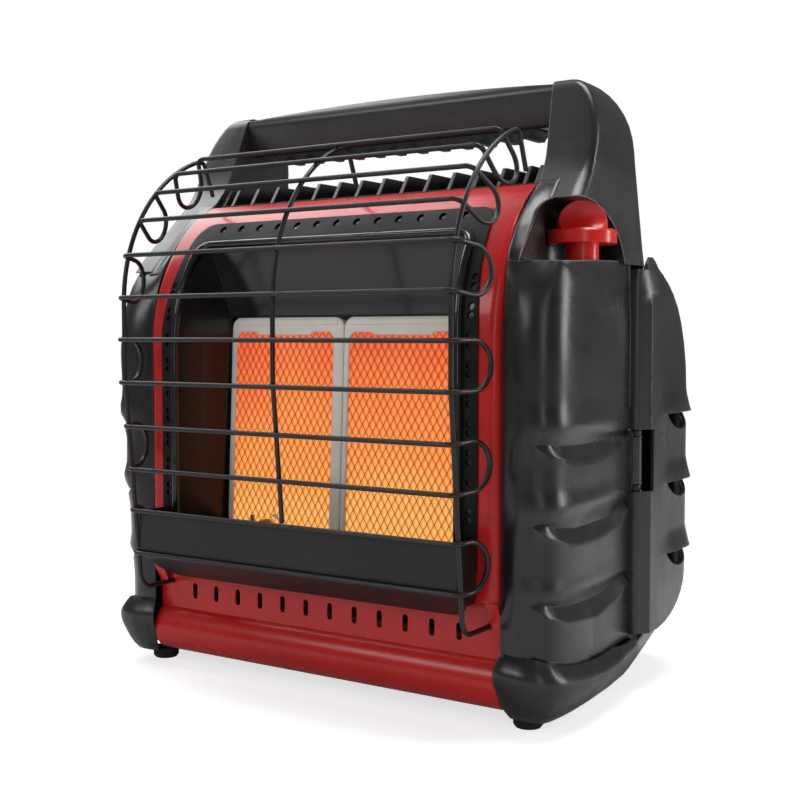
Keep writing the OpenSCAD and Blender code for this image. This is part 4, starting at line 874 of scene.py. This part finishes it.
def skin_column(side, s, p, n):
    """One line up the skin, at the way s round the plan: points of the plan with their heights."""
    top = ease(s, SKIRT_TOP)
    rim = min(top, REAR_TOP + max(0.0, REAR_S - s) * DROP_RATE) if s > DROP_S else top
    pts = []
    for i in range(SKIRT_ROWS + 1):
        z = SKIRT_FOOT + (rim - SKIRT_FOOT) * i / SKIRT_ROWS
        pts.append((p + n * (ease(s, SKIRT_SET) + skirt_out(z, top)), z))
    ledge = lookup(s, LEDGE[side])
    heights = [rim] + [ease(s, line) for gill in GILLS for line in gill]
    heights += [min(ease(s, SCOOP), ledge - SCOOP_LEAST), ledge]
    deep = ease(s, GILL_DEPTH)
    depth = {"wall": 0.0, "crease": deep, "roll": deep, "scoop": ease(s, SCOOP_DEPTH)}
    pts.append((column_point(p, n, rim, 0.0), rim))
    for (kind, steps), z0, z1 in zip(SPANS, heights, heights[1:]):
        for f in (i / steps for i in range(1, steps + 1)):
            z = z0 + (z1 - z0) * f
            pts.append((column_point(p, n, z, depth[kind] * cut_share(kind, f)), z))
    return pts


def shelf_outlines(edge, hole):
    """The shelf on top of the column, in four parts round the knob's stem where there is a hole."""
    corner = (PLAN_X, 127.6, 306.9)
    if not hole:
        return [edge + [corner]]
    front_y, rear_y = 45.0, 95.0
    ahead = [v for v in edge if v[1] < front_y]
    beside = [v for v in edge if front_y <= v[1] <= rear_y]
    behind = [v for v in edge if v[1] > rear_y]
    # The cuts before and behind the hole: their points at the seam, by the knob and outside
    seam_a, knob_a = (PLAN_X, front_y, SHELF_TOP), (KNOB_X, front_y, SHELF_TOP)
    seam_b, knob_b = (PLAN_X, rear_y, SHELF_TOP), (KNOB_X, rear_y, SHELF_TOP)
    out_a, out_b = ((v[0], y, v[2]) for v, y in ((beside[0], front_y), (beside[-1], rear_y)))
    turn = [-math.pi / 2 + math.pi * k / 20 for k in range(21)]
    ring = [(STEM_HOLE_R * math.cos(a), KNOB_Y + STEM_HOLE_R * math.sin(a)) for a in turn]
    return [ahead + [out_a, knob_a, seam_a],
            [knob_a, out_a, *beside, out_b, knob_b,
             *((KNOB_X + x, y, SHELF_TOP) for x, y in reversed(ring))],
            [knob_b, seam_b, seam_a, knob_a, *((KNOB_X - x, y, SHELF_TOP) for x, y in ring)],
            [seam_b, knob_b, out_b, *behind, corner]]


def rear_skirt():
    """Rows of points of the skirt behind the column, under the door, from the foot up."""
    # Start of the line, then the middle and the half axes of its rear corner
    start_x, mid_x, mid_y, half_x, half_y = 190.5, 154, 216, 16, 21
    longest = 6  # of its steps
    turn = [math.radians(20 + 70 * k / 8) for k in range(9)]
    rows = []
    for i in range(REAR_ROWS + 1):
        z = SKIRT_FOOT + (REAR_TOP - SKIRT_FOOT) * i / REAR_ROWS
        d = skirt_out(z, SKIRT_TOP[-1][1])
        corner = [(mid_x + (half_x + d) * math.cos(a), mid_y + (half_y + d) * math.sin(a))
                  for a in turn]
        line = [(start_x + d, REAR_Y), *corner, (PLAN_X, mid_y + half_y + d)]
        dense = []
        for (xa, ya), (xb, yb) in zip(line, line[1:]):
            parts = max(1, int(math.hypot(xb - xa, yb - ya) / longest))
            dense += [(xa + (xb - xa) * q / parts, ya + (yb - ya) * q / parts)
                      for q in range(parts)]
        rows.append((z, dense + [line[-1]]))
    m = min(len(r) for z, r in rows)
    return [[(*r[round(k * (len(r) - 1) / (m - 1))], z) for k in range(m)] for z, r in rows]


def side_skin(side, name, hole):
    """Skin of one side moulding: column, shelf, rear wall and skirt."""
    columns = [(s, n, skin_column(side, s, p, n)) for s, p, n in even_steps(PLAN, SKIN_COLUMNS)]
    verts, faces = [], []

    def put(x, y, z):
        verts.append(mm(x, y, z, side))
        return len(verts) - 1

    def slab(low, high):
        """A closed slab between two outlines of equal length."""
        faces.extend(tube_faces(len(low), 2, len(verts)))
        verts.extend(mm(*v, side) for v in (*low, *high))

    outer = [[put(q.x, q.y, z) for q, z in pts] for s, n, pts in columns]
    inner = [[put(q.x - n.x * SKIN_WALL, q.y - n.y * SKIN_WALL, z) for q, z in pts]
             for s, n, pts in columns]
    faces += shell_faces(outer, inner)
    ends = [(n, *pts[-1]) for s, n, pts in columns]
    edge = [(q.x - n.x * SHELF_INSET, q.y - n.y * SHELF_INSET, z - 0.05) for n, q, z in ends[::3]]
    for outline in shelf_outlines(edge, hole):
        slab([(x, y, SHELF_UNDER) for x, y, z in outline], outline)
    # Rear wall of the column, down behind the skirt
    wall_foot = 29.0
    tail = [(q.x - 0.4, z) for q, z in columns[-1][2] if z > 38.5]
    wall = [(183.0, wall_foot), *tail[::3], tail[-1], (PLAN_X, tail[-1][1]), (PLAN_X, wall_foot)]
    slab([(x, 127.9, z) for x, z in wall], [(x, 125.2, z) for x, z in wall])
    # Inner cheek of the skirt, against the bottom pan
    cheek = [(96, 10.5), (98, 8.6), (232, 8.6), (235.4, 14), (236.6, 24), (236.6, 37.6), (96, 37.6)]
    slab([(153.6, y, z) for y, z in cheek], [(151.7, y, z) for y, z in cheek])
    skirt = rear_skirt()
    out_rows = [[put(*v) for v in row] for row in skirt]
    in_rows = [[put(max(SEAM_X, x - 2.6), y - (SKIN_WALL if y > 200 else 0), min(z, 35.4))
                for x, y, z in row] for row in skirt]
    faces += shell_faces(out_rows, in_rows, last_rim=False)
    lid = [(x, y) for x, y, z in skirt[-1]] + [(PLAN_X, REAR_Y)]
    slab([(x, y, REAR_LID) for x, y in lid], [(x, y, REAR_TOP) for x, y in lid])
    o = piece(name, verts, faces, PLASTIC, BODY, node=name.replace("_skin", ""))
    smooth_by_angle(o)
    # Where the shelf lies open round the knob its edge gets a bead with a painted highlight, as
    # does the rear edge
    if hole:
        rim = [(q.x - n.x * 0.1, q.y - n.y * 0.1, z)
               for (n, q, z), (s, *_) in zip(ends, columns) if s > 8]
        rear = [(q.x, q.y - 0.1, z) for q, z in reversed(columns[-1][2]) if 204 < z < 309]
        edge_bead("ledge_edge_bead", rim + rear, 0.32)
    return o


def under_tower_strip(side, name):
    """Low rib under the tower that closes the view over the door's top."""
    outline = cut_corners(161, 185.4, 145.6, 149.8, 1, 1)
    verts = [mm(x, y, z, side) for z in (304.9, 307.6) for x, y in outline]
    return piece(name, verts, tube_faces(len(outline), 2), PLASTIC, BODY, smooth=False)


under_tower_strip(1, "right_under_tower_rib")
under_tower_strip(-1, "left_under_tower_rib")
side_skin(1, "right_side_panel_skin", True)
side_skin(-1, "left_side_panel_skin", False)

# ---- seam lips: the towers' inner front edges follow the red panel's sweep

# The knob's recess: its left edge leans in from RECESS_FOOT to ARCH_Z and arches over to ARCH_X
RECESS_FOOT, ARCH_Z, ARCH_TOP = 302, 338.5, 349.0
RECESS_X, RECESS_LEAN, ARCH_X = 159, 5.7, 164.0
# Share of the lip's forward stand by which the recess opens wider at its rim
RIM_OPENS = 0.55


def rim_x(z):
    """Left edge of the knob's recess at a height."""
    if z <= ARCH_Z:
        return RECESS_X - (z - RECESS_FOOT) * RECESS_LEAN / (ARCH_Z - RECESS_FOOT)
    if z <= ARCH_TOP:
        rise = (z - ARCH_Z) / (ARCH_TOP - ARCH_Z)
        return ARCH_X - (ARCH_X - RECESS_X + RECESS_LEAN) * math.sqrt(max(0.0, 1 - rise ** 2))
    return ARCH_X


def seam_lip(side, name, recess):
    """The forward lip along one seam; it stops at the recess where there is one."""
    foot, step, gap, proud, depth = 304.2, 1.5, 0.12, 0.06, 0.8
    front, back = [], []
    for z in (foot + i * step for i in range(40)):
        d = lookup(z, LIP)
        seam = SEAM_X - lean_in(z) + gap
        stop = LIP_WIDTH
        if recess and z > 307:
            stop = min(LIP_WIDTH, rim_x(z) + RIM_OPENS * d - seam)
        xs = [seam + stop * f for f in (0, 0.12, 0.25, 0.4, 0.55, 0.7, 0.85, 1.0)]
        falls = [1 - eased(min(1, (x - seam) / LIP_WIDTH)) for x in xs]
        front.append([mm(x, front_edge(z) - d * fall - proud, z, side)
                      for x, fall in zip(xs, falls)])
        back.append([mm(x, front_edge(z) + depth, z, side) for x in xs])
    verts = [v for row in front + back for v in row]
    n, m = len(front[0]), len(front)
    numbers = [list(range(j * n, (j + 1) * n)) for j in range(2 * m)]
    return piece(name, verts, shell_faces(numbers[:m], numbers[m:]), PLASTIC, BODY, smooth=True)


seam_lip(1, "right_seam_lip", True)
seam_lip(-1, "left_seam_lip", False)


def pocket_rim():
    """Painted highlight along the edge of the knob's recess: up its left side, over the top and
    down the outer side.
    """
    pts = []
    for z in (304.6 + k * 2.0 for k in range(23)):
        x, d = rim_x(z), lookup(z, LIP)
        near = clamp((x - SEAM_X + lean_in(z)) / LIP_WIDTH)
        pts.append((x + RIM_OPENS * d, front_edge(z) - d * (1 - eased(near)) - 0.1, z))
    pts += [(ARCH_X + k * 2.6, front_edge(ARCH_TOP) - 0.1, ARCH_TOP) for k in range(8)]
    # The outer side falls back in a quarter of an ellipse from the arch's top to the shelf
    outer_x, mid_y, mid_z, deep, tall = 188.05, 45, 307, 63, 42
    for a in (math.pi / 2 * k / 24 for k in range(1, 25)):
        y, z = mid_y + deep * math.sin(a), mid_z + tall * math.cos(a)
        corner = 5 * max(0.0, 1 - (y - front_edge(z)) / 8) ** 2
        pts.append((outer_x - (z - mid_z) * SEAM_LEAN - corner, y, z))
    edge_bead("pocket_rim_bead", pts, 0.38)


pocket_rim()

# ---------------------------------------------------------------- stage


def stage_material():
    """A pale floor that fades to pure white away from the heater, where the camera sees it."""
    m, t = new_material("pale_floor")
    out = t.nodes.new("ShaderNodeOutputMaterial")
    lit = add(t, "ShaderNodeBsdfDiffuse", Color=(0.62, 0.62, 0.62, 1))
    bounce = add(t, "ShaderNodeBsdfDiffuse", Color=(0.8, 0.8, 0.8, 1))
    glow = add(t, "ShaderNodeEmission", Color=(1, 1, 1, 1), Strength=0.7)
    white = add(t, "ShaderNodeEmission", Color=(1, 1, 1, 1), Strength=1.0)
    near = t.nodes.new("ShaderNodeAddShader")
    link(t, lit, "BSDF", near, 0)
    link(t, glow, "Emission", near, 1)
    tex = t.nodes.new("ShaderNodeTexCoord")
    dist = add(t, "ShaderNodeVectorMath", _operation="LENGTH")
    link(t, tex, "Object", dist, 0)
    fade = add(t, "ShaderNodeMapRange", _interpolation_type="SMOOTHSTEP",
               From_Min=0.35, From_Max=0.75)
    link(t, dist, "Value", fade, "Value")
    seen = t.nodes.new("ShaderNodeMixShader")
    link(t, fade, "Result", seen, 0)
    link(t, near, "Shader", seen, 1)
    link(t, white, "Emission", seen, 2)
    path = t.nodes.new("ShaderNodeLightPath")
    final = t.nodes.new("ShaderNodeMixShader")
    link(t, path, "Is Camera Ray", final, 0)
    link(t, bounce, "BSDF", final, 1)
    link(t, seen, "Shader", final, 2)
    link(t, final, "Shader", out, "Surface")
    return m


def make_floor():
    bm = bmesh.new()
    bmesh.ops.create_circle(bm, cap_ends=True, radius=6.0, segments=64)
    me = bpy.data.meshes.new("floor")
    bm.to_mesh(me)
    bm.free()
    me.materials.append(stage_material())
    o = bpy.data.objects.new("floor", me)
    o.location.z = CAD_BOX[0].z - 0.0002
    SCENE.collection.objects.link(o)


make_floor()


def make_world():
    """White where the camera sees it, and a dim even room for the light it gives."""
    w = bpy.data.worlds.new("studio")
    SCENE.world = w
    w.use_nodes = True
    t = w.node_tree
    t.nodes.clear()
    out = t.nodes.new("ShaderNodeOutputWorld")
    room = add(t, "ShaderNodeBackground", Color=(0.97, 0.97, 1.0, 1), Strength=0.18)
    seen = add(t, "ShaderNodeBackground", Color=(1, 1, 1, 1), Strength=1.0)
    path = t.nodes.new("ShaderNodeLightPath")
    mix = t.nodes.new("ShaderNodeMixShader")
    link(t, path, "Is Camera Ray", mix, 0)
    link(t, room, "Background", mix, 1)
    link(t, seen, "Background", mix, 2)
    link(t, mix, "Shader", out, "Surface")


make_world()


def softbox(name, place, target, size, power):
    """A rectangular area light of size width and height, aimed at a target."""
    lamp = bpy.data.lights.new(name, "AREA")
    lamp.shape = "RECTANGLE"
    lamp.size, lamp.size_y = size
    lamp.energy = power
    o = bpy.data.objects.new(name, lamp)
    o.location = place
    o.rotation_euler = (Vector(target) - Vector(place)).to_track_quat("-Z", "Y").to_euler()
    SCENE.collection.objects.link(o)


softbox("top_box", (0.22, 0.15, 1.65), (0.05, 0, 0.25), (0.6, 0.8), 14)
softbox("left_box", (-1.2, 0.15, 1.5), (0, 0, 0.3), (1.15, 1.15), 17)
softbox("front_box", (1.15, -1.45, 0.75), (0.15, 0, 0.22), (0.35, 1.3), 3)
softbox("right_box", (1.6, 0.85, 0.7), (0.19, -0.08, 0.2), (0.26, 1.2), 12)
softbox("fill_box", (-0.9, -1.7, 1.1), (0, 0, 0.2), (0.8, 0.5), 7)

# ---------------------------------------------------------------- camera

SENSOR_WIDTH = 36
FOCAL_LENGTH = 1227.92  # in pixels of a picture PICTURE_WIDTH wide
PICTURE_WIDTH = 800
PITCH_DOWN, TURN = 3.0007, 33.3044  # in degrees

cam_data = bpy.data.cameras.new("camera")
cam_data.sensor_width = SENSOR_WIDTH
cam_data.lens = FOCAL_LENGTH * SENSOR_WIDTH / PICTURE_WIDTH
cam_data.clip_start = 0.01
camera = bpy.data.objects.new("camera", cam_data)
camera.location = (0.5301, -0.79280, 0.2570)
camera.rotation_euler = (math.radians(90 - PITCH_DOWN), 0, math.radians(TURN))
SCENE.collection.objects.link(camera)
SCENE.camera = camera
SCENE.view_settings.view_transform = "Standard"
